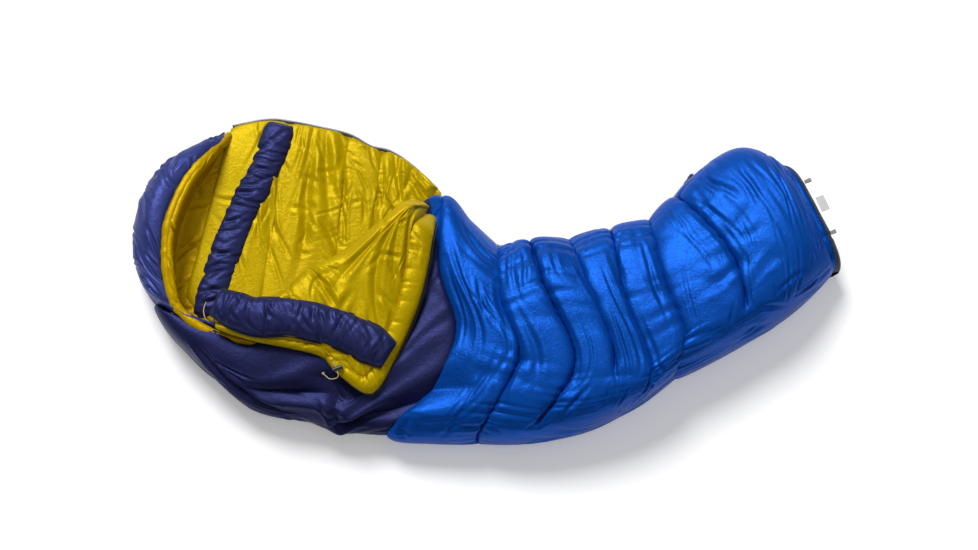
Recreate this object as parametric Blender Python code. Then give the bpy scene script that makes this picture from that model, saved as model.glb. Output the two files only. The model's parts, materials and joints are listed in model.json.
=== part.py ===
"""Mummy sleeping bag lying on the floor, open at the head, its top corner folded back.

Frame: +X from the hood to the foot, +Y towards the zip side, +Z up, floor at Z = 0.
The bag is a loft between numbered cross-sections: -6 is inside the hood, 0 is the end of
the open zip, 7 is the foot end. Every layer (shell, down, lining) is a slab on that loft.
"""

import math

import bmesh
import bpy
from mathutils import Matrix, Vector

# Driving dimensions, in metres.
FABRIC = 0.0012  # thickness of a shell or a lining
GAP = 0.0004  # clearance between neighbouring pieces
DOWN_GAP = 0.0014  # clearance between the down and the cloth around it
BACK_LOFT = 0.0380  # floor to the top of the back's lining
TOP_LOFT = 0.0330  # outer face to inner face of the top
SEAM_HEIGHT = 0.0392  # where the top's rim stands over the back
SEAM_GAP = 0.006  # along the bag between two down chambers, in sections
FOOT_LOFT = 0.0225  # how far the end wall stands out of the last cross-section
PUFF = 0.012  # how far a chamber swells between its seams
BACK_TUCK = 0.020  # how far the back's underside is tucked in under its rim
MIDDLE = Vector((-0.0031, -0.0115, 0.0))  # moves the outline's centre to the frame's origin

FIRST, MOUTH, FOOT = -6, 0, 7  # numbers of the cross-sections
# Plan outline, one point for each cross-section from FIRST to FOOT.
ZIP_SIDE = [
    (-0.935, 0.225), (-0.870, 0.310), (-0.765, 0.385), (-0.641, 0.450), (-0.462, 0.440),
    (-0.291, 0.368), (-0.131, 0.235), (0.029, 0.085), (0.197, 0.093), (0.351, 0.127),
    (0.499, 0.171), (0.607, 0.300), (0.740, 0.348), (0.838, 0.322),
]  # fmt: skip
NEAR_SIDE = [
    (-0.965, 0.100), (-0.955, 0.010), (-0.900, -0.080), (-0.850, -0.180), (-0.690, -0.318),
    (-0.500, -0.425), (-0.320, -0.470), (-0.090, -0.495), (0.150, -0.478), (0.370, -0.412),
    (0.560, -0.315), (0.740, -0.205), (0.876, -0.110), (0.972, 0.004),
]  # fmt: skip
# Height of the top over the floor, one for each cross-section from FIRST to FOOT.
CREST = [0.150, 0.150, 0.150, 0.150, 0.150, 0.148, 0.134, 0.178, 0.194, 0.195, 0.195, 0.205, 0.208, 0.165]

# The fold of the top's loose corner, which is also its hinge.
FOLD_START = Vector((-0.134, 0.230, 0.160))
FOLD_END = Vector((-0.829, -0.138, 0.160))
FOLD_ANGLE = 0.42 * math.pi  # where the fold cuts the top's arch
FOLD_RISE = 0.7  # sections from the mouth to where the fold is at full height
SHOULDER_END = -2.5  # last cross-section of the top on the hood side
FLAP_FLOOR = 0.0020  # flap's underside above the hinge
FLAP_DROOP = 0.022  # how far the flap's outer corner hangs down
FLAP_EDGE = [  # distance along the fold, reach across it
    (0.040, 0.055), (0.084, 0.128), (0.150, 0.228), (0.250, 0.325), (0.351, 0.408),
    (0.420, 0.440), (0.475, 0.395), (0.513, 0.318), (0.560, 0.243), (0.630, 0.188), (0.690, 0.125),
]  # fmt: skip

# The hood's wall stands on the back and curls in over the face opening.
HOOD_OUTLINE = [
    (-0.735, 0.425), (-0.815, 0.395), (-0.889, 0.336), (-0.962, 0.235), (-0.998, 0.105),
    (-0.985, 0.005), (-0.930, -0.070), (-0.862, -0.150), (-0.800, -0.225),
]  # fmt: skip
HOOD_MIDDLE = 0.086  # height of the wall's widest line
HOOD_RISE = 0.082  # from there to the top of the curl
HOOD_CURL = 0.100  # how far the wall would curl inwards
HOOD_LOW, HOOD_HIGH = math.radians(-26), math.radians(72)

BINDING_REACH, BINDING_RADIUS = 1.06, 0.0035  # on the curl, just past the wall's free edge

COLLAR_WIDTH, COLLAR_HEIGHT = 0.075, 0.034
DRAFT_WIDTH, DRAFT_HEIGHT = 0.060, 0.022  # the tube inside the flap's zip
DRAFT_START, DRAFT_RUN, DRAFT_IN = 0.100, 0.215, 0.045  # along the fold, and in from the edge
BACK_COLLAR = [(-0.596, 0.425), (-0.684, 0.246), (-0.738, 0.070), (-0.775, -0.060)]
FLAP_COLLAR = [(0.655, 0.040), (0.560, 0.165), (0.470, 0.270), (0.385, 0.372)]

# The closed zip beside the bag: two straight runs, joined by a stretch that follows the edge.
COIL = 0.0030  # width and height of the closed coil
COIL_HEIGHT = 0.0420  # height of the closed coil's middle
TAPE_WIDTH, TAPE = 0.0080, 0.0010
ZIP_OUT = 0.0130  # distance of the closed coil from the bag's edge
UPPER_RUN, LOWER_RUN, CURVED_RUN = (0.02, 0.98), (4.05, 5.0), (1.2, 3.95)  # in sections
# Each open half: the tape's width, the coil's size, and how far out and high each one lies.
OPEN_TAPE, OPEN_COIL, OPEN_COIL_HEIGHT = 0.0140, 0.0022, 0.0026
BACK_ZIP = (-2.9, -0.3)  # in sections
BACK_TAPE_AT, BACK_COIL_AT = (0.0080, 0.0400), (0.0165, 0.0390)
FLAP_ZIP = (0.3, 4.7)  # in points of the flap's edge
FLAP_TAPE_AT, FLAP_COIL_AT = (0.0120, 0.0200), (0.0210, 0.0190)
SLIDER = Vector((0.0170, 0.0115, 0.0076))
CHANNEL, SLOT = 0.0046, 0.0024  # sizes of the slider's channel for the coil and for the tape
UPPER_STOP, LOWER_STOP = 0.05, 0.08  # where each slider rests, as a share of its run
BAIL = Vector((0.0056, 0.0016, 0.0030))
BAIL_GAP = 0.0020  # clear height under the bail
PULL = Vector((0.0300, 0.0066, 0.0014))
PULL_RING = 0.0036  # inside of the pull's square ring
PULL_BAR = 0.0014  # the ring's bar, which turns under the bail

# Cord locks: a barrel with a spring button, and a hole across both for the cord.
LOCK_LENGTH, LOCK_RADIUS = 0.0240, 0.0062
BORE_RADIUS, BORE_DEPTH = 0.0046, 0.0200
BUTTON_RADIUS, BUTTON_LENGTH = 0.0042, 0.0150
BUTTON_PROUD = 0.0050  # how far the button stands out of the barrel
SPRING_RADIUS, SPRING_WIRE, SPRING_TURNS = 0.0030, 0.0004, 4
CORD_RADIUS, CORD_HOLE = 0.0014, 0.0024
CORD_PLACE = 0.0070  # the cord's hole from the middle of the barrel
BUTTON_SLOT = Vector((0.0078, 0.0300, 0.0042))  # lets the button travel past the cord
HOOD_LOCK = Vector((-0.405, -0.297, 0.1908))
HOOD_LOCK_AHEAD = Vector((-0.93, -0.36, 0.0))
# The straight part of each cord, measured along its lock's hole.
HOOD_CORD_STRAIGHT, COLLAR_CORD_STRAIGHT = (-0.026, 0.018), (0.013, -0.019)
# From the lock to the cord's knotted end, and from the lock to the collar that it comes out of.
HOOD_CORD_TAIL = [(-0.410, -0.325, 0.186), (-0.430, -0.326, 0.182), (-0.446, -0.312, 0.178)]
COLLAR_CORD_TAIL = [(-0.790, -0.128, 0.112), (-0.794, -0.100, 0.090), (-0.785, -0.060, 0.058)]
COLLAR_LOCK = Vector((-0.760, -0.150, 0.1180))
COLLAR_LOCK_AHEAD = Vector((-0.35, -0.94, 0.0))

PIPING_RADIUS, PIPING_OUT, PIPING_SPAN = 0.0026, 0.0020, (0.03, 0.97)  # round the foot's seam
LOOP_LENGTH, LOOP_WIDTH, LOOP_RADIUS, WEBBING = 0.0200, 0.0100, 0.0050, 0.0012
LOOP_ROOT = 0.0018  # half of the loop's thickness where its two plies meet
LOOP_PLACES = (0.25, 0.73)  # across the foot's end wall
LABEL = Vector((0.0250, 0.0460, 0.0006))
LABEL_PLACE = 0.48
TRIM_GAP = 0.0024  # from the end wall to the hinge line of a loop or the label
SEAM_TRIM_HEIGHT = 0.86  # where loops and label leave the end wall, as a share of its height

COLOURS = {  # base colour, roughness, metallic
    "royal_blue": ((0.004, 0.075, 0.420, 1.0), 0.42, 0.0),
    "navy": ((0.030, 0.038, 0.165, 1.0), 0.45, 0.0),
    "yellow": ((0.450, 0.300, 0.003, 1.0), 0.45, 0.0),
    "down": ((0.800, 0.780, 0.740, 1.0), 0.90, 0.0),
    "black_tape": ((0.012, 0.012, 0.015, 1.0), 0.65, 0.0),
    "black_plastic": ((0.012, 0.012, 0.013, 1.0), 0.40, 0.0),
    "slider_metal": ((0.060, 0.060, 0.065, 1.0), 0.30, 1.0),
    "spring_steel": ((0.550, 0.550, 0.560, 1.0), 0.25, 1.0),
    "webbing": ((0.300, 0.290, 0.260, 1.0), 0.80, 0.0),
    "label_white": ((0.820, 0.820, 0.820, 1.0), 0.60, 0.0),
    "cord_yellow": ((0.600, 0.330, 0.006, 1.0), 0.60, 0.0),
}


# ---------------------------------------------------------------- scene and materials


def clear_scene():
    for old in list(bpy.data.objects):
        bpy.data.objects.remove(old, do_unlink=True)


def new_collection(name):
    collection = bpy.data.collections.new(name)
    bpy.context.scene.collection.children.link(collection)
    return collection


def material(object_name, colour):
    """A material of the object's own, in one of the bag's colours."""
    base, roughness, metallic = COLOURS[colour]
    made = bpy.data.materials.new(object_name)
    made.use_nodes = True
    shader = made.node_tree.nodes["Principled BSDF"]
    shader.inputs["Base Color"].default_value = base
    shader.inputs["Roughness"].default_value = roughness
    shader.inputs["Metallic"].default_value = metallic
    made.diffuse_color = base
    return made


def add_object(name, mesh, colour, smooth=True):
    mesh.materials.clear()
    mesh.materials.append(material(name, colour))
    made = bpy.data.objects.new(name, mesh)
    BAG.objects.link(made)
    if smooth:
        mesh.shade_smooth()
        mesh.set_sharp_from_angle(angle=math.radians(40))
    return made


def mesh_from(bm, name):
    bmesh.ops.recalc_face_normals(bm, faces=bm.faces[:])
    if bm.calc_volume(signed=True) < 0:
        bmesh.ops.reverse_faces(bm, faces=bm.faces[:])
    mesh = bpy.data.meshes.new(name)
    bm.to_mesh(mesh)
    bm.free()
    return mesh


# ---------------------------------------------------------------- curves and sections


def through(points, t):
    """The smooth curve through the points, at t from 0 to the last point's number."""
    last = len(points) - 1
    t = min(max(t, 0.0), float(last))
    i = min(int(t), last - 1)
    before, start, end, after = (Vector(points[min(max(k, 0), last)]) for k in range(i - 1, i + 3))
    f = t - i
    pull = (end - before) * 0.5
    push = (after - start) * 0.5
    ease = f * f * (3 - 2 * f)
    return start * (1 - ease) + end * ease + pull * (f * (1 - f) ** 2) - push * (f * f * (1 - f))


def flat(point):
    return Vector((point[0], point[1], 0.0))


def smoothstep(x):
    x = min(max(x, 0.0), 1.0)
    return x * x * (3 - 2 * x)


def zip_side(u):
    return flat(through(ZIP_SIDE, u - FIRST))


def near_side(u):
    return flat(through(NEAR_SIDE, u - FIRST))


def crest(u):
    return through([(h, 0.0) for h in CREST], u - FIRST)[0]


def fold_point(u):
    """The point of the fold on cross-section u, for u below 0."""
    return FOLD_START.lerp(FOLD_END, u / -3.0)


def top_place(u, v, depth):
    """A point of the top: v from the zip side to the near side, depth from the outer face."""
    near = near_side(u)
    cut = FOLD_ANGLE * smoothstep(-u / FOLD_RISE)
    far = zip_side(u) if u >= 0 else flat(fold_point(u)) + FLAP_SIDE * 0.005
    across = near - far
    half = across.length / (1 + math.cos(cut))
    swell = PUFF * smoothstep(u) * math.sin(math.pi * u) ** 2
    rise = crest(u) + swell - SEAM_HEIGHT
    angle = cut + (math.pi - cut) * v
    normal = Vector((-math.cos(angle) / half, math.sin(angle) / rise)).normalized()
    along = half * (math.cos(cut) - math.cos(angle)) + depth * normal[0]
    up = max(0.0, rise * math.sin(angle) + depth * normal[1])
    return far + across.normalized() * along + Vector((0, 0, SEAM_HEIGHT + up))


def back_place(u, v, height):
    """A point of the back: v from the zip side to the near side, at a height over the floor."""
    far, near = zip_side(u), near_side(u)
    across = (near - far).normalized()
    tuck = BACK_TUCK * (1 - height / BACK_LOFT) ** 2
    return (far + across * tuck).lerp(near - across * tuck, v) + Vector((0, 0, height))


def foot_place(u, v, depth):
    """A point of the foot's end wall: u up the wall, v across it, depth into the bag."""
    far, near = zip_side(FOOT), near_side(FOOT)
    across = (near - far).normalized()
    out = Vector((-across[1], across[0], 0.0))
    half = (near - far).length / 2
    lateral = (2 * v - 1) * half
    roof = (crest(FOOT) - 0.004) * math.sqrt(max(0.0, 1 - (lateral / (half * 1.04)) ** 2)) ** 0.6
    bulge = 0.020 * (1 - (2 * v - 1) ** 2)
    middle = (far + near) / 2
    foot = middle + across * lateral + out * (FOOT_LOFT + bulge - depth)
    return foot + Vector((0, 0, 0.006 + (roof - 0.006) * u))


def hood_place(u, v, depth):
    """A point of the hood's wall: u along its outline, v from its foot to its rim."""
    last = len(HOOD_OUTLINE) - 1
    outline = flat(through(HOOD_OUTLINE, u * last))
    ahead = flat(through(HOOD_OUTLINE, u * last + 0.05)) - flat(through(HOOD_OUTLINE, u * last - 0.05))
    inwards = Vector((-ahead[1], ahead[0], 0.0)).normalized()
    low = smoothstep((u - 0.62) / 0.38)  # the wall is lower where it joins the shoulder
    start = smoothstep(u / 0.12)
    rise = HOOD_RISE * (0.72 + 0.28 * start) * (1 - 0.52 * low)
    middle = HOOD_MIDDLE - 0.018 * low
    curl = HOOD_CURL * (1 - 0.35 * low)
    angle = HOOD_LOW + (HOOD_HIGH - HOOD_LOW) * v
    inset = curl - (curl + depth) * math.cos(angle)
    return outline + inwards * inset + Vector((0, 0, middle + (rise + depth) * math.sin(angle)))


def flap_reach(along):
    """How far the flap reaches across the fold, at a distance along the fold."""
    for (a0, b0), (a1, b1) in zip(FLAP_EDGE, FLAP_EDGE[1:]):
        if along <= a1:
            return b0 + (b1 - b0) * max(0.0, along - a0) / (a1 - a0)
    return FLAP_EDGE[-1][1]


def flap_level(point):
    """The height of the flap's hinge plane over the floor, sagging away from the fold."""
    across = (point - FOLD_START).dot(FLAP_SIDE)
    return FOLD_START[2] - FLAP_DROOP * (across / FLAP_EDGE[5][1]) ** 2


def flap_point(along, across, height):
    """A point in the flap's own directions: along the fold, across it, over the hinge."""
    point = flat(FOLD_START + FOLD_AXIS * along + FLAP_SIDE * across)
    return point + Vector((0, 0, flap_level(point) + height))


def flap_place(u, v, height):
    along = FLAP_EDGE[0][0] + (FLAP_EDGE[-1][0] - FLAP_EDGE[0][0]) * u
    return flap_point(along, flap_reach(along) * v, height)


# ---------------------------------------------------------------- builders


def slab(name, place, spans, cells, low, high, colour):
    """A closed slab: a grid placed by place(u, v, low), and its copy at place(u, v, high)."""
    (u0, u1), (v0, v1) = spans
    bm = bmesh.new()
    bmesh.ops.create_grid(bm, x_segments=cells[0], y_segments=cells[1], size=0.5)
    lower = list(bm.verts)
    grown = bmesh.ops.extrude_face_region(bm, geom=bm.faces[:], use_keep_orig=True)
    upper = [part for part in grown["geom"] if isinstance(part, bmesh.types.BMVert)]
    for verts, depth in ((lower, low), (upper, high)):
        for vert in verts:
            u = u0 + (u1 - u0) * (vert.co[0] + 0.5)
            v = v0 + (v1 - v0) * (vert.co[1] + 0.5)
            vert.co = place(u, v, depth) - MIDDLE
    return add_object(name, mesh_from(bm, name), colour)


def ridge(name, path, width, height, ground, cells, colour):
    """A soft roll along a path in plan: flat on the ground below, domed above and at its ends."""

    def place(u, v, level):
        ahead = path(min(u + 0.01, 1.0)) - path(max(u - 0.01, 0.0))
        side = Vector((-ahead[1], ahead[0], 0.0)).normalized()
        end = math.sqrt(max(0.0, 1 - abs(2 * u - 1) ** 8))
        dome = 0.14 + 0.86 * math.sqrt(max(0.0, 1 - (2 * v - 1) ** 2)) * (0.35 + 0.65 * end)
        lateral = (v - 0.5) * width * (0.7 + 0.3 * end)
        point = flat(path(u)) + side * lateral
        return point + Vector((0, 0, ground(point) + height * dome * level))

    return slab(name, place, ((0, 1), (0, 1)), cells, 0.0, 1.0, colour)


def strip(name, path, width, thickness, cells, colour):
    """A narrow band along a path, lying flat, with its middle on the path."""

    def place(u, v, level):
        ahead = path(min(u + 0.01, 1.0)) - path(max(u - 0.01, 0.0))
        side = Vector((-ahead[1], ahead[0], 0.0)).normalized()
        return path(u) + side * ((v - 0.5) * width) + Vector((0, 0, thickness * level))

    return slab(name, place, ((0, 1), (0, 1)), (cells, 1), 0.0, 1.0, colour)


def box_mesh(name, size, bevel):
    bm = bmesh.new()
    bmesh.ops.create_cube(bm, size=1.0)
    bmesh.ops.scale(bm, vec=size, verts=bm.verts[:])
    bmesh.ops.bevel(bm, geom=bm.edges[:], offset=bevel, segments=2, profile=0.5, affect="EDGES")
    return mesh_from(bm, name)


def cylinder_mesh(name, radius, length, sides=16):
    """A solid cylinder along Z, centred on the origin."""
    bm = bmesh.new()
    bmesh.ops.create_cone(
        bm, cap_ends=True, segments=sides, radius1=radius, radius2=radius, depth=length
    )
    return mesh_from(bm, name)


def tube(name, points, radius, colour, roundness=1):
    """A round cord through points, with filled ends."""
    curve = bpy.data.curves.new(name, "CURVE")
    curve.dimensions = "3D"
    curve.bevel_depth = radius
    curve.bevel_resolution = roundness
    curve.use_fill_caps = True
    spline = curve.splines.new("POLY")
    spline.points.add(len(points) - 1)
    for target, point in zip(spline.points, points):
        target.co = (*(point - MIDDLE), 1.0)
    curve.materials.append(material(name, colour))
    made = bpy.data.objects.new(name, curve)
    BAG.objects.link(made)
    return made


def cut(target, cutter_mesh, matrix):
    """Takes a cutter's shape out of a target object."""
    cutter = bpy.data.objects.new(cutter_mesh.name, cutter_mesh)
    CUTTERS.objects.link(cutter)
    cutter.matrix_world = matrix
    cutter.hide_render = True
    cutter.display_type = "WIRE"
    boolean = target.modifiers.new(cutter_mesh.name, "BOOLEAN")
    boolean.operation = "DIFFERENCE"
    boolean.solver = "EXACT"
    boolean.object = cutter


def placed(ahead, up, origin):
    """The matrix with its X axis ahead, its Z axis near up, and its place at origin."""
    x = ahead.normalized()
    y = up.cross(x).normalized()
    z = x.cross(y)
    rotation = Matrix((x, y, z)).transposed().to_4x4()
    return Matrix.Translation(origin - MIDDLE) @ rotation


# ---------------------------------------------------------------- the back


def make_back():
    fill = (FABRIC + DOWN_GAP, BACK_LOFT - FABRIC - DOWN_GAP)
    rim = (BACK_LOFT - FABRIC, BACK_LOFT)
    slab("back_shell_body", back_place, ((MOUTH, FOOT), (0, 1)), (14, 1), 0.0, FABRIC, "royal_blue")
    slab("back_shell_shoulder", back_place, ((FIRST, -0.01), (0, 1)), (12, 1), 0.0, FABRIC, "navy")
    slab("back_lining", back_place, ((-3, FOOT), (0, 1)), (20, 1), *rim, "yellow")
    slab("hood_back_lining", back_place, ((FIRST, -3.01), (0, 1)), (6, 1), *rim, "yellow")
    seams = [-3, -1.5, MOUTH, 2, 4, 5.5, FOOT]
    for number, (start, end) in enumerate(zip(seams, seams[1:]), 1):
        spans = ((start + SEAM_GAP, end - SEAM_GAP), (0.01, 0.99))
        cells = (round(2 * (end - start)), 1)
        slab(f"back_down_{number}", back_place, spans, cells, *fill, "down")
    spans = ((FIRST, -3 - SEAM_GAP), (0.01, 0.99))
    slab("hood_back_down", back_place, spans, (6, 1), *fill, "down")


# ---------------------------------------------------------------- the top


def make_body():
    fill = (-TOP_LOFT + FABRIC + DOWN_GAP, -FABRIC - DOWN_GAP)
    whole = ((MOUTH, FOOT), (0, 1))
    slab("body_shell", top_place, whole, (21, 8), -FABRIC, 0.0, "royal_blue")
    slab("body_lining", top_place, whole, (21, 8), -TOP_LOFT, -TOP_LOFT + FABRIC, "yellow")
    for number in range(MOUTH, FOOT):
        spans = ((number + SEAM_GAP, number + 1 - SEAM_GAP), (0, 1))
        slab(f"body_down_{number + 1}", top_place, spans, (3, 8), *fill, "down")


def make_shoulder():
    fill = (-TOP_LOFT + FABRIC + DOWN_GAP, -FABRIC - DOWN_GAP)
    whole = ((SHOULDER_END, -0.01), (0, 1))
    slab("shoulder_shell", top_place, whole, (10, 6), -FABRIC, 0.0, "navy")
    slab("shoulder_lining", top_place, whole, (10, 6), -TOP_LOFT, -TOP_LOFT + FABRIC, "yellow")
    middle = SHOULDER_END / 2
    slab("shoulder_down_1", top_place, ((middle + SEAM_GAP, -0.016), (0, 1)), (5, 6), *fill, "down")
    spans = ((SHOULDER_END, middle - SEAM_GAP), (0, 1))
    slab("shoulder_down_2", top_place, spans, (5, 6), *fill, "down")


def make_foot_end():
    whole = ((0, 1), (0.02, 0.98))
    slab("foot_end_shell", foot_place, whole, (3, 10), 0.0, FABRIC, "royal_blue")
    fill = (FABRIC + DOWN_GAP, FOOT_LOFT - GAP)
    slab("foot_end_down", foot_place, whole, (3, 10), *fill, "down")
    start, end = PIPING_SPAN
    rim = [foot_place(1.0, start + (end - start) * i / 22, PIPING_OUT) for i in range(23)]
    rise = Vector((0, 0, PIPING_RADIUS + 2 * GAP))
    tube("foot_piping", [point + rise for point in rim], PIPING_RADIUS, "black_tape")


# ---------------------------------------------------------------- the hood


def make_hood():
    fill = (-TOP_LOFT + FABRIC + DOWN_GAP, -FABRIC - DOWN_GAP)
    whole = ((0, 1), (0, 1))
    slab("hood_shell", hood_place, whole, (14, 4), -FABRIC, 0.0, "navy")
    slab("hood_down", hood_place, whole, (14, 4), *fill, "down")
    slab("hood_lining", hood_place, whole, (14, 4), -TOP_LOFT, -TOP_LOFT + FABRIC, "yellow")
    half = -TOP_LOFT / 2
    rim = [hood_place(i / 26, BINDING_REACH, half) for i in range(27)]
    tube("hood_edge_binding", rim, BINDING_RADIUS, "black_tape")


# ---------------------------------------------------------------- the flap


def make_flap():
    shell = (FLAP_FLOOR, FLAP_FLOOR + FABRIC)
    lining = (FLAP_FLOOR + TOP_LOFT - FABRIC, FLAP_FLOOR + TOP_LOFT)
    fill = (shell[1] + DOWN_GAP, lining[0] - DOWN_GAP)
    whole = ((0, 1), (0, 1))
    made = [
        slab("flap_shell", flap_place, whole, (11, 4), *shell, "navy"),
        slab("flap_down", flap_place, whole, (11, 4), *fill, "down"),
        slab("flap_lining", flap_place, whole, (11, 4), *lining, "yellow"),
    ]

    def ground(point):
        return flap_level(point) + lining[1] + 2 * GAP

    def collar(u):
        return flap_point(*through(FLAP_COLLAR, u * (len(FLAP_COLLAR) - 1)), 0.0)

    made.append(ridge("flap_collar", collar, COLLAR_WIDTH, COLLAR_HEIGHT, ground, (10, 5), "navy"))

    def border(u, out, height):
        t = FLAP_ZIP[0] + (FLAP_ZIP[1] - FLAP_ZIP[0]) * u
        ahead = through(FLAP_EDGE, t + 0.1) - through(FLAP_EDGE, t - 0.1)
        outwards = Vector((-ahead[1], ahead[0])).normalized()
        return flap_point(*(through(FLAP_EDGE, t) + outwards * out), height)

    def tape(u):
        return border(u, *FLAP_TAPE_AT)

    def coil(u):
        return border(u, *FLAP_COIL_AT)

    made.append(strip("flap_zip_tape", tape, OPEN_TAPE, TAPE, 16, "black_tape"))
    made.append(strip("flap_zip_coil", coil, OPEN_COIL, OPEN_COIL_HEIGHT, 16, "black_plastic"))

    def draft(u):
        along = DRAFT_START + DRAFT_RUN * u
        return flap_point(along, flap_reach(along) - DRAFT_IN, 0.0)

    made.append(ridge("flap_draft_tube", draft, DRAFT_WIDTH, DRAFT_HEIGHT, ground, (8, 4), "yellow"))
    return made


def hang_flap(pieces):
    """Puts the flap's pieces under an empty on the fold, which is their hinge."""
    hinge = bpy.data.objects.new("flap_hinge", None)
    hinge.matrix_world = placed(FOLD_AXIS, Vector((0, 0, 1)), FOLD_START)
    BAG.objects.link(hinge)
    for piece in pieces:
        piece.parent = hinge
        piece.matrix_parent_inverse = hinge.matrix_world.inverted()


# ---------------------------------------------------------------- collar on the back


def make_back_collar():
    def path(u):
        return flat(through(BACK_COLLAR, u * (len(BACK_COLLAR) - 1)))

    def ground(point):
        return BACK_LOFT + GAP

    ridge("back_collar", path, COLLAR_WIDTH, COLLAR_HEIGHT, ground, (12, 5), "navy")


# ---------------------------------------------------------------- zip


def zip_line(u, out, height):
    """A point outside the bag's zip side, beside cross-section u."""
    ahead = zip_side(u + 0.02) - zip_side(u - 0.02)
    outwards = Vector((-ahead[1], ahead[0], 0.0)).normalized()
    return zip_side(u) + outwards * out + Vector((0, 0, height))


def closed_zip(out, height):
    """Points along the closed zip, from the open end to the foot, with the two straight runs."""
    runs = [UPPER_RUN, CURVED_RUN, LOWER_RUN]
    steps = [1, 12, 1]
    points = []
    for (start, end), count in zip(runs, steps):
        points += [zip_line(start + (end - start) * i / count, out, height) for i in range(count + 1)]
    return points


def along_points(points):
    """A path(u) that goes from point to point at even steps of u."""
    last = len(points) - 1

    def path(u):
        i = min(int(u * last), last - 1)
        return points[i].lerp(points[i + 1], u * last - i)

    return path


def make_zip():
    start, end = BACK_ZIP

    def back_tape(u):
        return zip_line(start + (end - start) * u, *BACK_TAPE_AT)

    def back_coil(u):
        return zip_line(start + (end - start) * u, *BACK_COIL_AT)

    strip("back_zip_tape", back_tape, OPEN_TAPE, TAPE, 14, "black_tape")
    strip("back_zip_coil", back_coil, OPEN_COIL, OPEN_COIL_HEIGHT, 14, "black_plastic")
    coil = closed_zip(ZIP_OUT, COIL_HEIGHT - COIL / 2)
    tape_out = ZIP_OUT - COIL / 2 - GAP - TAPE_WIDTH / 2
    tape = closed_zip(tape_out, COIL_HEIGHT - TAPE / 2)
    cells = len(coil) - 1
    strip("closed_zip_coil", along_points(coil), COIL, COIL, cells, "black_plastic")
    strip("closed_zip_tape", along_points(tape), TAPE_WIDTH, TAPE, cells, "black_tape")


def add_placed(name, mesh, colour, matrix):
    made = add_object(name, mesh, colour)
    made.matrix_world = matrix
    return made


def at(matrix, x, y, z):
    return matrix @ Matrix.Translation((x, y, z))


def cut_box(target, size, matrix):
    cut(target, box_mesh(f"{target.name}_cutter", size, 0.0002), matrix)


def make_slider(name, start, end, bag_side):
    """A slider on the closed coil, and the pull that turns under its bail.

    It stands at start and looks towards end; the tape's slot opens to the bag's side.
    """
    up = Vector((0, 0, 1))
    matrix = placed(end - start, up, start)
    slider = add_placed(name, box_mesh(name, SLIDER, 0.0012), "slider_metal", matrix)
    cut_box(slider, (2 * SLIDER[0], CHANNEL, CHANNEL), matrix)
    cut_box(slider, (2 * SLIDER[0], SLIDER[1], SLOT), at(matrix, 0, bag_side * SLIDER[1] / 2, 0))
    top = SLIDER[2] / 2
    bail = bpy.data.objects.new(f"{name}_bail", box_mesh(f"{name}_bail", BAIL, 0.0003))
    CUTTERS.objects.link(bail)
    bail.matrix_world = at(matrix, 0, 0, top + BAIL[2] / 2 - 0.0003)
    bail.hide_render = True
    bail.display_type = "WIRE"
    union = slider.modifiers.new("bail", "BOOLEAN")
    union.operation = "UNION"
    union.object = bail
    gap = (BAIL[0] - 0.0022, 2 * BAIL[1], BAIL_GAP)
    cut_box(slider, gap, at(matrix, 0, 0, top + BAIL_GAP / 2 + 0.0001))

    hinge = at(matrix, 0, 0, top + PULL_BAR / 2 + 0.0004)
    ahead = PULL[0] / 2 - PULL_BAR / 2
    mesh = box_mesh(f"{name}_pull", PULL, 0.0003)
    mesh.transform(Matrix.Translation((ahead, 0, 0)))
    pull = add_placed(f"{name}_pull", mesh, "slider_metal", hinge)
    hole = (PULL_RING, PULL_RING, 2 * PULL[2])
    cut_box(pull, hole, at(hinge, PULL_BAR / 2 + PULL_RING / 2, 0, 0))


# ---------------------------------------------------------------- cord locks and cords


def spring_points(start, length):
    """Points of the button's spring, along X from start."""
    steps = 8 * SPRING_TURNS
    for i in range(steps + 1):
        turn = 2 * math.pi * SPRING_TURNS * i / steps
        x = start + length * i / steps
        yield Vector((x, SPRING_RADIUS * math.cos(turn), SPRING_RADIUS * math.sin(turn)))


def make_cord_lock(name, origin, ahead):
    """A barrel with its axis ahead, its button at the front, and the cord's hole across."""
    matrix = placed(ahead, Vector((0, 0, 1)), origin)
    turn = Matrix.Rotation(math.pi / 2, 4, "Y")
    across = Matrix.Rotation(math.pi / 2, 4, "X")
    hole = cylinder_mesh(f"{name}_hole", CORD_HOLE, 6 * LOCK_RADIUS, 10)

    mesh = cylinder_mesh(name, LOCK_RADIUS, LOCK_LENGTH)
    mesh.transform(turn)
    barrel = add_placed(name, mesh, "black_plastic", matrix)
    bore_middle = LOCK_LENGTH / 2 - BORE_DEPTH / 2 + 0.001
    bore = cylinder_mesh(f"{name}_bore", BORE_RADIUS, BORE_DEPTH + 0.002)
    cut(barrel, bore, at(matrix, bore_middle, 0, 0) @ turn)
    cut(barrel, hole, at(matrix, CORD_PLACE, 0, 0) @ across)

    front = LOCK_LENGTH / 2 + BUTTON_PROUD
    button_matrix = at(matrix, front, 0, 0)
    mesh = cylinder_mesh(f"{name}_button", BUTTON_RADIUS, BUTTON_LENGTH)
    mesh.transform(Matrix.Translation((-BUTTON_LENGTH / 2, 0, 0)) @ turn)
    button = add_placed(f"{name}_button", mesh, "black_plastic", button_matrix)
    slot_middle = CORD_PLACE + BUTTON_SLOT[0] / 2 - CORD_RADIUS - GAP
    cut_box(button, BUTTON_SLOT, at(matrix, slot_middle, 0, 0))

    start = LOCK_LENGTH / 2 - BORE_DEPTH + SPRING_WIRE + GAP
    length = front - BUTTON_LENGTH - SPRING_WIRE - GAP - start
    coil = [matrix @ point + MIDDLE for point in spring_points(start, length)]
    tube(f"{name}_spring", coil, SPRING_WIRE, "spring_steel", 0)
    return at(matrix, CORD_PLACE, 0, 0)


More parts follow.
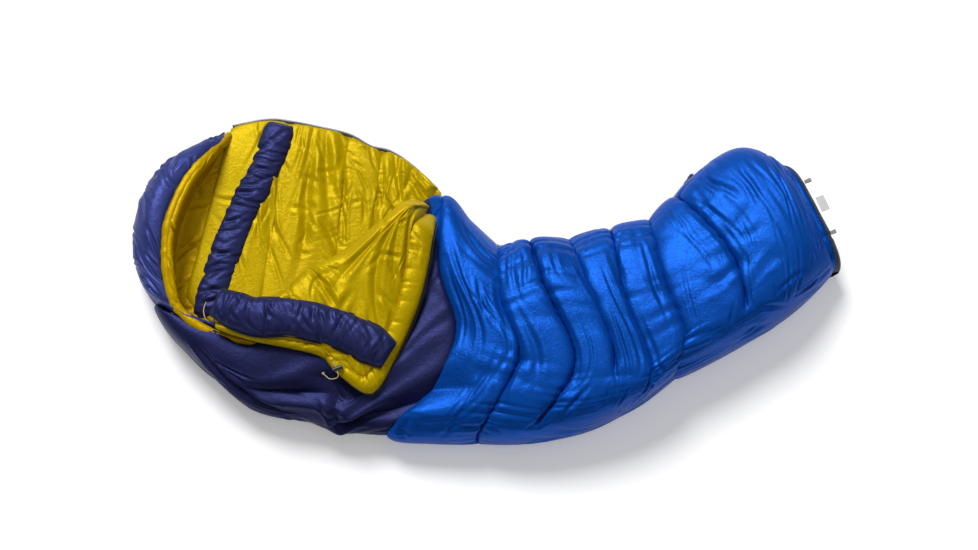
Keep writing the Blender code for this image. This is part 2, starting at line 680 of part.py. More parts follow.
def make_cord(name, hole, before, after, route, count):
    """A cord: straight through a lock's hole from before to after, then on through its route.

    hole is the matrix of the hole's middle, and before and after are distances along its Y.
    """
    steps = (before + (after - before) * i / 4 for i in range(5))
    straight = [hole @ Vector((0, y, 0)) + MIDDLE for y in steps]
    points = straight + [Vector(point) for point in route]
    last = len(points) - 1
    tube(name, [through(points, last * i / count) for i in range(count + 1)], CORD_RADIUS, "cord_yellow")


# ---------------------------------------------------------------- foot trim


def foot_frame(v):
    """Where trim leaves the end wall, with X pointing out of the bag."""
    across = near_side(FOOT) - zip_side(FOOT)
    out = Vector((-across[1], across[0], 0.0)).normalized()
    wall = foot_place(SEAM_TRIM_HEIGHT, v, 0.0)
    return placed(out, Vector((0, 0, 1)), wall + out * TRIM_GAP)


def make_hang_loop(name, v):
    """A loop of webbing standing out of the end wall, its band along the seam."""
    straight = LOOP_LENGTH - LOOP_RADIUS
    total = 2 * straight + math.pi * LOOP_RADIUS

    def place(u, w, depth):
        run = u * total
        y = (w - 0.5) * LOOP_WIDTH
        if straight < run < total - straight:
            turn = (run - straight) / LOOP_RADIUS
            radius = LOOP_RADIUS - depth
            local = Vector((straight + radius * math.sin(turn), y, -radius * math.cos(turn)))
        else:
            x = min(run, total - run)
            half = LOOP_ROOT + (LOOP_RADIUS - LOOP_ROOT) * smoothstep(x / straight) - depth
            local = Vector((x, y, -half if run < total / 2 else half))
        return local + MIDDLE

    made = slab(name, place, ((0, 1), (0, 1)), (16, 1), 0.0, WEBBING, "webbing")
    made.matrix_world = foot_frame(v)


def make_label():
    mesh = box_mesh("care_label", LABEL, 0.0001)
    mesh.transform(Matrix.Translation((LABEL[0] / 2, 0, 0)))
    matrix = foot_frame(LABEL_PLACE)
    add_placed("care_label", mesh, "label_white", matrix)


clear_scene()
BAG = new_collection("mummy_sleeping_bag")
CUTTERS = new_collection("cutters")
FOLD_AXIS = (FOLD_END - FOLD_START).normalized()
FLAP_SIDE = Vector((0, 0, 1)).cross(FOLD_AXIS).normalized()

make_back()
make_body()
make_shoulder()
make_foot_end()
make_hood()
hang_flap(make_flap())
make_back_collar()
make_zip()

up_run = [zip_line(u, ZIP_OUT, COIL_HEIGHT) for u in UPPER_RUN]
low_run = [zip_line(u, ZIP_OUT, COIL_HEIGHT) for u in reversed(LOWER_RUN)]
make_slider("upper_slider", up_run[0].lerp(up_run[1], UPPER_STOP), up_run[1], -1)
make_slider("lower_slider", low_run[0].lerp(low_run[1], LOWER_STOP), low_run[1], 1)
hood_cord = make_cord_lock("hood_cord_lock", HOOD_LOCK, HOOD_LOCK_AHEAD)
collar_cord = make_cord_lock("collar_cord_lock", COLLAR_LOCK, COLLAR_LOCK_AHEAD)
make_cord("hood_drawcord", hood_cord, *HOOD_CORD_STRAIGHT, HOOD_CORD_TAIL, 20)
make_cord("collar_drawcord", collar_cord, *COLLAR_CORD_STRAIGHT, COLLAR_CORD_TAIL, 24)
for count, place in enumerate(LOOP_PLACES, 1):
    make_hang_loop(f"hang_loop_{count}", place)
make_label()
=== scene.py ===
import json
import math

import bpy
import numpy as np
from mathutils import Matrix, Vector


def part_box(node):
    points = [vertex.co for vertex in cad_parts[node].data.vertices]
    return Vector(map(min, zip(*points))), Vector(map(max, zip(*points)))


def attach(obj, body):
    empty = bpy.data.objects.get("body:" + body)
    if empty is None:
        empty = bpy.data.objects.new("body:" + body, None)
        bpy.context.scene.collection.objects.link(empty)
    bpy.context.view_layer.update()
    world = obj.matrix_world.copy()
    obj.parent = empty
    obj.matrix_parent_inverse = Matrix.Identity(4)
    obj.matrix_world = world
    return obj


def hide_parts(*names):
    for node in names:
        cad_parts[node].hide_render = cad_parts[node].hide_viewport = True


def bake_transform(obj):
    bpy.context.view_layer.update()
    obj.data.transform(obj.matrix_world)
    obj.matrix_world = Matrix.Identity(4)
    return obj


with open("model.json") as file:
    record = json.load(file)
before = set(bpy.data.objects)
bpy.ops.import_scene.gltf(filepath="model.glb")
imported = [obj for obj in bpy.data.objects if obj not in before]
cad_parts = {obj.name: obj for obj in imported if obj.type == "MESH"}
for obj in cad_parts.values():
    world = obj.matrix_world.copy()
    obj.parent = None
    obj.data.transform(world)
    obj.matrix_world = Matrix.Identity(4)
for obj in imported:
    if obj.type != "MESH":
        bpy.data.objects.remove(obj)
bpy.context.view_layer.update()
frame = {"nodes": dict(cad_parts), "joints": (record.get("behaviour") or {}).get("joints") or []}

ROUNDS = 150  # steps of the cloth solver
UP = np.array((0, 0, 1.0))

# Outlines, in metres in the bag's frame. The bag lies from -X (hood) to +X (foot); the zip
# side is +Y. Cross-sections of the top: plan points from the zip side to the near side, the
# height of the crest, the angle where the arch starts, and its place on the zip (or None
# where the top starts at the fold of the loose corner).
RIBS = [
    ([(-0.834, -0.122), (-0.860, -0.128), (-0.884, -0.118), (-0.908, -0.096), (-0.926, -0.072)],
     0.128, 92, None),
    ([(-0.740, -0.176), (-0.768, -0.190), (-0.797, -0.194), (-0.824, -0.190), (-0.846, -0.178)],
     0.138, 92, None),
    ([(-0.622, -0.200), (-0.630, -0.240), (-0.638, -0.278), (-0.645, -0.312), (-0.650, -0.340)],
     0.140, 92, None),
    ([(-0.398, 0.026), (-0.410, -0.090), (-0.428, -0.205), (-0.452, -0.324), (-0.482, -0.392)],
     0.150, 92, None),
    ([(-0.240, 0.158), (-0.240, 0.022), (-0.246, -0.150), (-0.310, -0.310), (-0.390, -0.420)],
     0.148, 100, None),
    ([(-0.125, 0.249), (-0.128, 0.021), (-0.077, -0.160), (-0.139, -0.315), (-0.276, -0.443)],
     0.140, 180, 0.0),
    ([(-0.052, 0.152), (-0.043, -0.037), (0.010, -0.200), (-0.045, -0.333), (-0.150, -0.452)],
     0.164, 180, 0.5),
    ([(0.040, 0.080), (0.043, -0.095), (0.097, -0.235), (0.049, -0.350), (-0.020, -0.454)],
     0.182, 180, 1.02),
    ([(0.126, 0.112), (0.168, -0.050), (0.254, -0.250), (0.203, -0.370), (0.114, -0.452)],
     0.192, 180, 1.58),
    ([(0.240, 0.104), (0.297, -0.065), (0.359, -0.235), (0.342, -0.345), (0.268, -0.422)],
     0.194, 180, 2.26),
    ([(0.359, 0.144), (0.388, -0.065), (0.453, -0.255), (0.450, -0.314), (0.408, -0.356)],
     0.194, 180, 3.05),
    ([(0.473, 0.166), (0.508, -0.036), (0.556, -0.170), (0.546, -0.240), (0.524, -0.282)],
     0.196, 180, 3.80),
    ([(0.547, 0.240), (0.687, 0.056), (0.721, -0.053), (0.722, -0.120), (0.708, -0.180)],
     0.202, 180, 4.45),
    ([(0.712, 0.370), (0.810, 0.215), (0.850, 0.089), (0.858, -0.020), (0.846, -0.094)],
     0.200, 180, 5.80),
    ([(0.849, 0.328), (0.881, 0.236), (0.915, 0.157), (0.949, 0.079), (0.979, 0.021)],
     0.163, 180, 6.98),
]  # fmt: skip
COLUMNS = [20, 42, 52, 44, 46, 27, 27, 33, 38, 38, 36, 46, 46, 46]  # of the cloth's grid, per span
# Seams pulled into the top: the rib, then depths at places from the zip (0) to the floor (1).
NAVY_SEAM = 5
SEAMS = {
    5: [(0.05, 0.003), (0.70, 0.003), (0.80, 0.0)],
    7: [(0.03, 0.020), (0.12, 0.026), (0.30, 0.012), (0.45, 0.013), (0.55, 0.007),
        (0.62, 0.005), (0.70, 0.0)],
    8: [(0.04, 0.005), (0.12, 0.009), (0.28, 0.009), (0.40, 0.013), (0.48, 0.006), (0.55, 0.0)],
    9: [(0.03, 0.016), (0.12, 0.018), (0.22, 0.009), (0.32, 0.005), (0.38, 0.0)],
    10: [(0.04, 0.009), (0.12, 0.010), (0.25, 0.009), (0.36, 0.010), (0.44, 0.004), (0.50, 0.0)],
    11: [(0.04, 0.010), (0.12, 0.013), (0.25, 0.012), (0.40, 0.016), (0.55, 0.014),
        (0.68, 0.012), (0.78, 0.0)],
    12: [(0.03, 0.008), (0.10, 0.012), (0.20, 0.009), (0.33, 0.007), (0.42, 0.0)],
}
ZIP_SIDE = [
    (-0.932, 0.236), (-0.867, 0.321), (-0.762, 0.396), (-0.638, 0.461), (-0.459, 0.451),
    (-0.288, 0.379), (-0.128, 0.2465), (0.032, 0.0965), (0.200, 0.1045), (0.354, 0.1385),
    (0.502, 0.1825), (0.610, 0.3115), (0.743, 0.3595), (0.841, 0.3335),
]  # fmt: skip
NEAR_SIDE = [
    (-0.962, 0.112), (-0.952, 0.022), (-0.897, -0.068), (-0.847, -0.168), (-0.687, -0.306),
    (-0.497, -0.413), (-0.317, -0.458), (-0.087, -0.483), (0.153, -0.466), (0.373, -0.400),
    (0.563, -0.303), (0.743, -0.193), (0.879, -0.098), (0.975, 0.016),
]  # fmt: skip
ZIP_END = 6  # the point of ZIP_SIDE where the open zip ends
EDGE = [
    (-0.735, 0.458), (-0.632, 0.478), (-0.561, 0.472), (-0.484, 0.456), (-0.396, 0.434),
    (-0.333, 0.398), (-0.276, 0.383), (-0.214, 0.340), (-0.135, 0.264),
]  # fmt: skip
UNDER_FOLD = [
    (-0.850, -0.050), (-0.720, -0.160), (-0.640, -0.170), (-0.560, -0.130), (-0.430, -0.050),
    (-0.370, -0.010), (-0.300, 0.050), (-0.230, 0.110), (-0.100, 0.200),
]  # fmt: skip
HOOD_RIM = [
    (-0.738, 0.436, 0.060), (-0.789, 0.352, 0.125), (-0.846, 0.262, 0.158), (-0.888, 0.142, 0.170),
    (-0.893, 0.031, 0.166), (-0.878, -0.060, 0.155), (-0.841, -0.122, 0.148), (-0.752, -0.178, 0.144),
    (-0.600, -0.208, 0.140),
]  # fmt: skip
HOOD_SIDE = [
    (-0.750, 0.438), (-0.816, 0.386), (-0.894, 0.334), (-0.953, 0.262), (-0.984, 0.158),
    (-0.984, 0.082), (-0.970, 0.014), (-0.936, -0.050), (-0.880, -0.118),
]  # fmt: skip
BACK_COLLAR = [
    (-0.590, 0.470), (-0.612, 0.385), (-0.650, 0.294), (-0.694, 0.204), (-0.726, 0.114),
    (-0.754, 0.025), (-0.776, -0.060), (-0.780, -0.110),
]  # fmt: skip
HOOD_FLOOR = [
    (-0.620, 0.455), (-0.640, 0.370), (-0.670, 0.280), (-0.700, 0.190), (-0.735, 0.100),
    (-0.755, 0.030), (-0.765, -0.030), (-0.740, -0.070), (-0.680, -0.100),
]  # fmt: skip
# The loose corner, folded back: its fold, the seam of its draft tube, and its zip edge.
FOLD = [
    (-0.136, 0.226), (-0.216, 0.180), (-0.288, 0.114), (-0.396, 0.026), (-0.484, -0.019),
    (-0.533, -0.070), (-0.587, -0.100), (-0.638, -0.120), (-0.700, -0.104), (-0.741, -0.110),
]  # fmt: skip
FLAP_SEAM = [
    (-0.133, 0.222), (-0.206, 0.130), (-0.222, 0.014), (-0.250, -0.115), (-0.290, -0.220),
    (-0.330, -0.302), (-0.400, -0.262), (-0.461, -0.218), (-0.641, -0.185), (-0.746, -0.152),
]  # fmt: skip
FLAP_EDGE = [
    (-0.128, 0.225), (-0.145, 0.100), (-0.160, 0.000), (-0.190, -0.120), (-0.252, -0.262),
    (-0.314, -0.350), (-0.402, -0.296), (-0.461, -0.242), (-0.641, -0.202), (-0.746, -0.166),
]  # fmt: skip
FLAP_COLLAR = [
    (-0.746, -0.100), (-0.696, -0.122), (-0.645, -0.142), (-0.600, -0.144), (-0.545, -0.144),
    (-0.473, -0.156), (-0.400, -0.178), (-0.330, -0.210), (-0.264, -0.250),
]  # fmt: skip
FOLD_START, FOLD_ALONG = np.array((-0.1309, 0.2415)), np.array((-0.88376, -0.46795))
FLAP_SIDE = np.array((0.46795, -0.88376))


# ---------------------------------------------------------------- curves and noise


def spline(points, t):
    """Points of a smooth curve through points, at each t counted in points."""
    p = np.asarray(points, float)
    t = np.clip(np.asarray(t, float), 0, len(p) - 1)
    i = np.minimum(t.astype(int), len(p) - 2)
    f = (t - i)[..., None]
    before, after = np.maximum(i - 1, 0), np.minimum(i + 2, len(p) - 1)
    a = np.where((i == 0)[..., None], 2 * p[i] - p[i + 1], p[before])
    d = np.where((i + 2 > len(p) - 1)[..., None], 2 * p[i + 1] - p[i], p[after])
    b, c = p[i], p[i + 1]
    return 0.5 * (2 * b + (c - a) * f + (2 * a - 5 * b + 4 * c - d) * f**2 + (3 * b - a - 3 * c + d) * f**3)


def smooth(t):
    """A ramp from 0 to 1 with soft ends."""
    t = np.clip(t, 0.0, 1.0)
    return t * t * (3 - 2 * t)


def with_height(plan, height):
    """Plan points with a height, or one height each."""
    plan = np.asarray(plan, float)
    height = np.asarray(height, float)[..., None]
    return np.concatenate([plan, np.broadcast_to(height, plan.shape[:-1] + (1,))], -1)


def sideways(line):
    """Unit vectors to the left of a plan line, seen from above."""
    ahead = np.gradient(np.asarray(line)[:, :2], axis=0)
    left = np.stack([-ahead[:, 1], ahead[:, 0]], -1)
    return left / np.linalg.norm(left, axis=-1, keepdims=True)


def evenly(points, step):
    """The points again, about step apart along the line."""
    p = np.asarray(points, float)
    run = np.concatenate([[0], np.cumsum(np.linalg.norm(np.diff(p, axis=0), axis=1))])
    at = np.linspace(0, run[-1], max(2, int(round(run[-1] / step)) + 1))
    return np.stack([np.interp(at, run, p[:, k]) for k in range(p.shape[1])], -1)


def curve(points, step):
    """A smooth curve through points, as points about step apart."""
    return evenly(spline(points, np.linspace(0, len(points) - 1, 60 * len(points))), step)


def field(shape, cells, rng):
    """Smooth noise from -1 to 1 over a grid, with cells = (rows, columns) of random values."""
    rows, cols = (max(2, int(c)) for c in cells)
    coarse = rng.uniform(-1, 1, (rows, cols))
    y, x = np.linspace(0, rows - 1.001, shape[0]), np.linspace(0, cols - 1.001, shape[1])
    i, j = y.astype(int), x.astype(int)
    fy, fx = smooth(y - i)[:, None], smooth(x - j)[None, :]
    top = coarse[i][:, j] * (1 - fx) + coarse[i][:, j + 1] * fx
    low = coarse[i + 1][:, j] * (1 - fx) + coarse[i + 1][:, j + 1] * fx
    return top * (1 - fy) + low * fy


def normals(x, side=1):
    """Unit vectors out of a grid of cloth; side is -1 where its rows x columns point inwards."""
    du, dv = np.gradient(x, axis=0), np.gradient(x, axis=1)
    n = np.cross(du, dv) * side
    return n / (np.linalg.norm(n, axis=-1, keepdims=True) + 1e-12)


# ---------------------------------------------------------------- cloth


def puckers(shape, row, depth, rng, reach=7.0, every=3.4):
    """Dents that run off a seam at a row: sharp valleys between round hills, of mixed length."""
    rows, cols = shape
    dent = np.zeros(shape)
    knots = np.linspace(0, cols - 1, int(cols / every) + 2)
    for way in (-1, 1):
        wave = np.interp(np.arange(cols), knots, rng.uniform(-1, 1, len(knots)))
        length = reach * np.interp(np.arange(cols), knots[::3], rng.uniform(0.35, 1.9, len(knots[::3])))
        away = np.arange(rows)[:, None] - row
        away = away * way
        fall = np.where(away >= 0, np.exp(-np.maximum(away, 0) / length[None]), 0)
        dent += depth * ((1 - np.abs(wave)) ** 2.5)[None] * fall * np.where(away == 0, 0.5, 1.0)
    return dent


def drags(shape, count, rng, angle, length, width, depth, rows=(0, 1), cols=(0, 1)):
    """Scattered long creases: count of them, at an angle from the rows, in grid cells."""
    i, j = np.meshgrid(np.arange(shape[0]), np.arange(shape[1]), indexing="ij")
    dent = np.zeros(shape)
    for _ in range(count):
        a = math.radians(angle[0] + angle[1] * rng.uniform(-1, 1))
        ci, cj = shape[0] * rng.uniform(*rows), shape[1] * rng.uniform(*cols)
        size, wide, deep = rng.uniform(*length), rng.uniform(*width), rng.uniform(*depth)
        bow = rng.uniform(-0.25, 0.25)
        along = (i - ci) * math.sin(a) + (j - cj) * math.cos(a)
        across = (i - ci) * math.cos(a) - (j - cj) * math.sin(a) + bow * along * along / size
        fade = np.clip(1 - (along / size) ** 2, 0, 1) ** 1.5
        dent += deep * fade * np.exp(-np.abs(across / wide) ** 1.3)
        dent -= 0.45 * deep * fade * np.exp(-((np.abs(across) - 2.1 * wide) / wide) ** 2)
    return dent


def pull(x, free, a, b, length, stretch, squeeze):
    """Moves pairs of points towards their length apart; held points have free = 0."""
    d = x[b] - x[a]
    n = np.sqrt(np.einsum("...k,...k", d, d)) + 1e-9
    fa, fb = free[a], free[b]
    k = np.where(n > length, stretch, squeeze) * (n - length) / n / np.maximum(fa + fb, 1e-9)
    d *= k[..., None]
    x[a] += d * fa[..., None]
    x[b] -= d * fb[..., None]


def settle(
    start, held, push, slack, bend=0.10, limit=0.03, seed=1, side=1, seeds=0.0012,
    low=None, high=None, rounds=None
):
    """Puffs and wrinkles a grid of cloth: pressure, stretch, shear and bending, position based.

    start is (rows, columns, 3); held marks points that stay; push is the pressure; slack is how
    much longer the cloth is than its start along rows and along columns, as numbers or arrays;
    seeds is the height of the first ripples; limit is how far a point may end from its start.
    """
    rng = np.random.default_rng(seed)
    rows, cols = start.shape[:2]
    x = start.copy()
    free = 1.0 - held.astype(float)
    wave = field((rows, cols), (rows / 5, cols / 5), rng) + field((rows, cols), (rows / 11, cols / 11), rng)
    x += normals(x, side) * (wave * seeds * free)[..., None]
    last = x.copy()
    su, sv = (np.broadcast_to(np.asarray(s, float), (rows, cols)) for s in slack)
    every = slice(None)
    links = []
    for step, firm, soft in ((1, 1.0, 0.75), (2, 0.0, bend)):
        for axis, size, s in ((0, rows, su), (1, cols, sv)):
            for first in range(2 * step):
                one = slice(first, size - step, 2 * step)
                two = slice(first + step, size, 2 * step)
                count = len(range(*two.indices(size)))
                one = slice(first, first + 2 * step * count, 2 * step)
                if count < 1:
                    continue
                a, b = ((one, every), (two, every)) if axis == 0 else ((every, one), (every, two))
                gap = np.linalg.norm(start[b] - start[a], axis=-1) * 0.5 * (s[a] + s[b])
                links.append((a, b, gap, firm if step == 1 else bend, soft))
    for c1, c2 in ((slice(0, cols - 1), slice(1, cols)), (slice(1, cols), slice(0, cols - 1))):
        for first in (0, 1):
            count = len(range(first + 1, rows, 2))
            a = (slice(first, first + 2 * count - 1, 2), c1)
            b = (slice(first + 1, rows, 2), c2)
            gap = np.linalg.norm(start[b] - start[a], axis=-1) * 0.25 * (su[a] + su[b] + sv[a] + sv[b])
            links.append((a, b, gap, 0.35, 0.20))
    force = push * (1 + 0.25 * field((rows, cols), (rows / 14, cols / 14), rng)) * free
    for _ in range(rounds or ROUNDS):
        moved = x + 0.86 * (x - last) * free[..., None] + normals(x, side) * force[..., None]
        last, x = x, moved
        for a, b, gap, firm, soft in links:
            pull(x, free, a, b, gap, firm, soft)
        if low is not None:
            x[..., 2] = np.maximum(x[..., 2], low)
        if high is not None:
            x[..., 2] = np.minimum(x[..., 2], high)
    off = x - start
    size = np.linalg.norm(off, axis=-1, keepdims=True) + 1e-12
    return start + off * (limit * np.tanh(size / limit) / size)


def clear_track(grid, slider, joint, more=0.0):
    """Moves cloth off the way of a zip slider: beside its run, up to just above its pull."""
    low, high = (np.array(c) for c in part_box(slider))
    move = next(j for j in frame["joints"] if j["name"] == joint)
    ahead = np.array(move["axis"][:2])
    beside = np.array((-ahead[1], ahead[0]))
    start = (low[:2] + high[:2]) / 2 - ahead * (0.016 + more)
    run = (grid[..., :2] - start) @ ahead
    across = (grid[..., :2] - start) @ beside
    beside_it = (run > 0) & (run < 0.15) & (np.abs(across) < 0.20)
    inward = -1.0 if np.median(across[beside_it]) < 0 else 1.0
    near = smooth((run + 0.01) / 0.01) * smooth((move["range_m"][1] + 0.058 + more - run) / 0.01)
    near *= smooth((high[2] + 0.016 - grid[..., 2]) / 0.006)
    short = np.maximum(0.0125 - across * inward, 0) * near * (np.abs(across) < 0.05)
    grid[..., :2] += (beside * inward) * short[..., None]


def clear_lock(grid, lock, drop=0.0020, margin=0.012):
    """Dips cloth below a cord lock that lies on it."""
    low, high = (np.array(c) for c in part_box(lock))
    off = np.maximum(np.maximum(low[:2] - grid[..., :2], grid[..., :2] - high[:2]), 0)
    far = np.maximum(np.linalg.norm(off, axis=-1) - margin, 0)
    grid[..., 2] = np.minimum(grid[..., 2], low[2] - drop + 1.2 * far + (far > 0.03) * 9.0)


# ---------------------------------------------------------------- meshes


def add_mesh(name, verts, faces, materials, pick=None, soft=True):
    """A new object; pick is the material of each face, soft shades it smoothly."""
    mesh = bpy.data.meshes.new(name)
    mesh.from_pydata([tuple(v) for v in verts], [], faces)
    for made in materials:
        mesh.materials.append(made)
    if pick is not None:
        mesh.polygons.foreach_set("material_index", np.asarray(pick, np.int32))
    mesh.polygons.foreach_set("use_smooth", [soft] * len(mesh.polygons))
    mesh.update()
    made = bpy.data.objects.new(name, mesh)
    bpy.context.scene.collection.objects.link(made)
    return made


def loft(rails, at):
    """A grid of (points along a rail, places across the rails), smooth across the rails."""
    rails = np.asarray(rails)
    grid = spline(rails.reshape(len(rails), -1), at)
    return grid.reshape(len(at), rails.shape[1], 3).transpose(1, 0, 2)


def rim_held(shape):
    """Marks of the held points of a grid of cloth: its four edges."""
    held = np.zeros(shape, bool)
    held[:, 0] = held[:, -1] = held[0] = held[-1] = True
    return held


def grid_faces(rows, cols, flip=False, ring=False):
    """Four-sided faces of a grid of points; ring closes it along its columns."""
    i, j = np.meshgrid(np.arange(rows - 1), np.arange(cols if ring else cols - 1), indexing="ij")
    nxt = (j + 1) % cols
    quad = [i * cols + j, (i + 1) * cols + j, (i + 1) * cols + nxt, i * cols + nxt]
    if flip:
        quad.reverse()
    return np.stack(quad, -1).reshape(-1, 4).tolist()


def sheet(name, grid, materials, pick=None, thick=0.0012, side=1, levels=0):
    """A sheet of cloth from a grid of points, closed by a second side thick below it.

    pick is the material of each face, side is as for normals, levels adds subdivision.
    """
    rows, cols = grid.shape[:2]
    faces = grid_faces(rows, cols, side < 0)
    made = add_mesh(name, grid.reshape(-1, 3), faces, materials, pick)
    if levels:
        sub = made.modifiers.new("smooth", "SUBSURF")
        sub.levels = sub.render_levels = levels
    if thick:
        solid = made.modifiers.new("cloth", "SOLIDIFY")
        solid.thickness, solid.offset, solid.use_even_offset = thick, -1.0, False
    return made


def rope(name, line, radius, made_of, sides=8, squash=1.0):
    """A closed round tube along a line of points; radius may vary along it."""
    line = np.asarray(line, float)
    count = len(line)
    ahead = np.gradient(line, axis=0)
    ahead /= np.linalg.norm(ahead, axis=1, keepdims=True)
    flat = np.cross(np.broadcast_to((0.0, 0.0, 1.0), line.shape), ahead)
    up = np.cross(ahead, flat)
    up /= np.linalg.norm(up, axis=1, keepdims=True) + 1e-9
    side = np.cross(ahead, up)
    turn = np.linspace(0, 2 * np.pi, sides, endpoint=False)
    size = np.broadcast_to(np.asarray(radius, float), (count,))[:, None, None]
    wide, tall = np.cos(turn)[None, :, None], np.sin(turn)[None, :, None]
    ring = side[:, None] * wide + up[:, None] * tall * squash
    verts = (line[:, None] + ring * size).reshape(-1, 3).tolist()
    faces = grid_faces(count, sides, True, True)
    verts += [tuple(line[0]), tuple(line[-1])]
    for k in range(sides):
        nxt = (k + 1) % sides
        faces.append((len(verts) - 2, k, nxt))
        faces.append((len(verts) - 1, (count - 1) * sides + nxt, (count - 1) * sides + k))
    return add_mesh(name, verts, faces, [made_of])


def boxes(name, places, size, made_of):
    """Many small rounded bricks: places are (middle, ahead, up), size is along ahead, side, up."""
    corners = [(sx, sy, sz) for sx in (-1, 1) for sy in (-1, 1) for sz in (-1, 1)]
    quads = [(0, 1, 3, 2), (4, 6, 7, 5), (0, 4, 5, 1), (2, 3, 7, 6), (0, 2, 6, 4), (1, 5, 7, 3)]
    verts, faces = [], []
    for middle, ahead, up in places:
        ahead = ahead / np.linalg.norm(ahead)
        side = np.cross(up, ahead)
        side /= np.linalg.norm(side) + 1e-9
        top = np.cross(ahead, side)
        first = len(verts)
        for sx, sy, sz in corners:
            offset = ahead * sx * size[0] / 2 + side * sy * size[1] / 2 + top * sz * size[2] / 2
            verts.append(tuple(middle + offset))
        faces += [tuple(first + k for k in quad) for quad in quads]
    made = add_mesh(name, verts, faces, [made_of], soft=False)
    bevel = made.modifiers.new("rounded", "BEVEL")
    bevel.width, bevel.segments = min(size) * 0.25, 1
    return made


# ---------------------------------------------------------------- materials


def node(tree, kind, **values):
    """A new node, with values for its inputs or its settings."""
    made = tree.nodes.new(kind)
    for key, value in values.items():
        if key in made.inputs:
            made.inputs[key].default_value = value
        else:
            setattr(made, key, value)
    return made


def new_material(name, colour, roughness, metallic=0.0, **more):
    """A Principled material with plain values; more names other sockets, with _ for a space."""
    made = bpy.data.materials.new(name)
    made.use_nodes = True
    shader = made.node_tree.nodes["Principled BSDF"]
    shader.inputs["Base Color"].default_value = (*colour, 1.0)
    shader.inputs["Roughness"].default_value = roughness
    shader.inputs["Metallic"].default_value = metallic
    for key, value in more.items():
        shader.inputs[key.replace("_", " ")].default_value = value
    return made


def tint(made, colour, other, scale, detail=3.0, low=0.3, high=0.7):
    """Patches of another shade over the base colour."""
    tree = made.node_tree
    shader = tree.nodes["Principled BSDF"]
    coords = node(tree, "ShaderNodeTexCoord")
    noise = node(tree, "ShaderNodeTexNoise", Scale=scale, Detail=detail)
    ramp = node(tree, "ShaderNodeValToRGB")
    for stop, place, shade in zip(ramp.color_ramp.elements, (low, high), (colour, other)):
        stop.position, stop.color = place, (*shade, 1.0)
    tree.links.new(coords.outputs["Object"], noise.inputs["Vector"])
    tree.links.new(noise.outputs["Fac"], ramp.inputs["Fac"])
    tree.links.new(ramp.outputs["Color"], shader.inputs["Base Color"])


def uneven(made, source, low, high):
    """Roughness that varies from low to high with a noise."""
    tree = made.node_tree
    rough = node(tree, "ShaderNodeMapRange")
    rough.inputs["To Min"].default_value, rough.inputs["To Max"].default_value = low, high
    tree.links.new(source, rough.inputs["Value"])
    tree.links.new(rough.outputs["Result"], tree.nodes["Principled BSDF"].inputs["Roughness"])


def nylon(name, colour, other, roughness=0.42, crinkle=0.0013, lustre=0.42):
    """Thin downproof nylon: shade variation, soft crinkles and a fine ripstop weave.

    crinkle is the depth of its crinkles in metres; lustre tints its highlights.
    """
    made = new_material(name, colour, roughness, lustre, Specular_IOR_Level=0.06)
    tint(made, colour, other, 6.0)
    tree = made.node_tree
    shader = tree.nodes["Principled BSDF"]
    coords = node(tree, "ShaderNodeTexCoord")
    large = node(tree, "ShaderNodeTexNoise", Scale=58.0, Detail=4.0, Roughness=0.55, Distortion=1.4)
    small = node(tree, "ShaderNodeTexNoise", Scale=170.0, Detail=2.0, Distortion=0.8)
    weave = [
        node(tree, "ShaderNodeTexWave", Scale=420.0, Distortion=0.4, bands_direction=axis)
        for axis in ("X", "Y")
    ]
    for source in (large, small, *weave):
        tree.links.new(coords.outputs["Object"], source.inputs["Vector"])
    both = node(tree, "ShaderNodeMath", operation="ADD")
    tree.links.new(weave[0].outputs["Fac"], both.inputs[0])
    tree.links.new(weave[1].outputs["Fac"], both.inputs[1])
    bumps = []
    layers = (
        (large.outputs["Fac"], crinkle, 0.9), (small.outputs["Fac"], 0.0004, 0.6),
        (both.outputs[0], 0.00006, 0.5),
    )  # fmt: skip
    for source, distance, strength in layers:
        bump = node(tree, "ShaderNodeBump", Strength=strength, Distance=distance)
        tree.links.new(source, bump.inputs["Height"])
        if bumps:
            tree.links.new(bumps[-1].outputs["Normal"], bump.inputs["Normal"])
        bumps.append(bump)
    tree.links.new(bumps[-1].outputs["Normal"], shader.inputs["Normal"])
    uneven(made, small.outputs["Fac"], roughness - 0.08, roughness + 0.10)
    return made


def woven(name, colour, other, scale=900.0, roughness=0.75, depth=0.0003):
    """Woven tape, webbing or braid."""
    made = new_material(name, colour, roughness, Sheen_Weight=0.3)
    tint(made, colour, other, 260.0, 2.0, 0.4, 0.6)
    tree = made.node_tree
    coords = node(tree, "ShaderNodeTexCoord")
    threads = [
        node(tree, "ShaderNodeTexWave", Scale=scale, Distortion=1.0, bands_direction=axis)
        for axis in ("X", "Y")
    ]
    both = node(tree, "ShaderNodeMath", operation="MULTIPLY")
    for k, thread in enumerate(threads):
        tree.links.new(coords.outputs["Object"], thread.inputs["Vector"])
        tree.links.new(thread.outputs["Fac"], both.inputs[k])
    bump = node(tree, "ShaderNodeBump", Strength=0.8, Distance=depth)
    tree.links.new(both.outputs[0], bump.inputs["Height"])
    tree.links.new(bump.outputs["Normal"], tree.nodes["Principled BSDF"].inputs["Normal"])
    return made


def moulded(name, colour, other, roughness, metallic=0.0, grain=500.0, depth=0.0001):
    """Moulded plastic or enamelled metal with a fine grain."""
    made = new_material(name, colour, roughness, metallic)
    tint(made, colour, other, 90.0, 4.0)
    tree = made.node_tree
    coords = node(tree, "ShaderNodeTexCoord")
    noise = node(tree, "ShaderNodeTexNoise", Scale=grain, Detail=3.0)
    tree.links.new(coords.outputs["Object"], noise.inputs["Vector"])
    bump = node(tree, "ShaderNodeBump", Strength=0.5, Distance=depth)
    tree.links.new(noise.outputs["Fac"], bump.inputs["Height"])
    tree.links.new(bump.outputs["Normal"], tree.nodes["Principled BSDF"].inputs["Normal"])
    uneven(made, noise.outputs["Fac"], roughness - 0.07, roughness + 0.12)
    return made


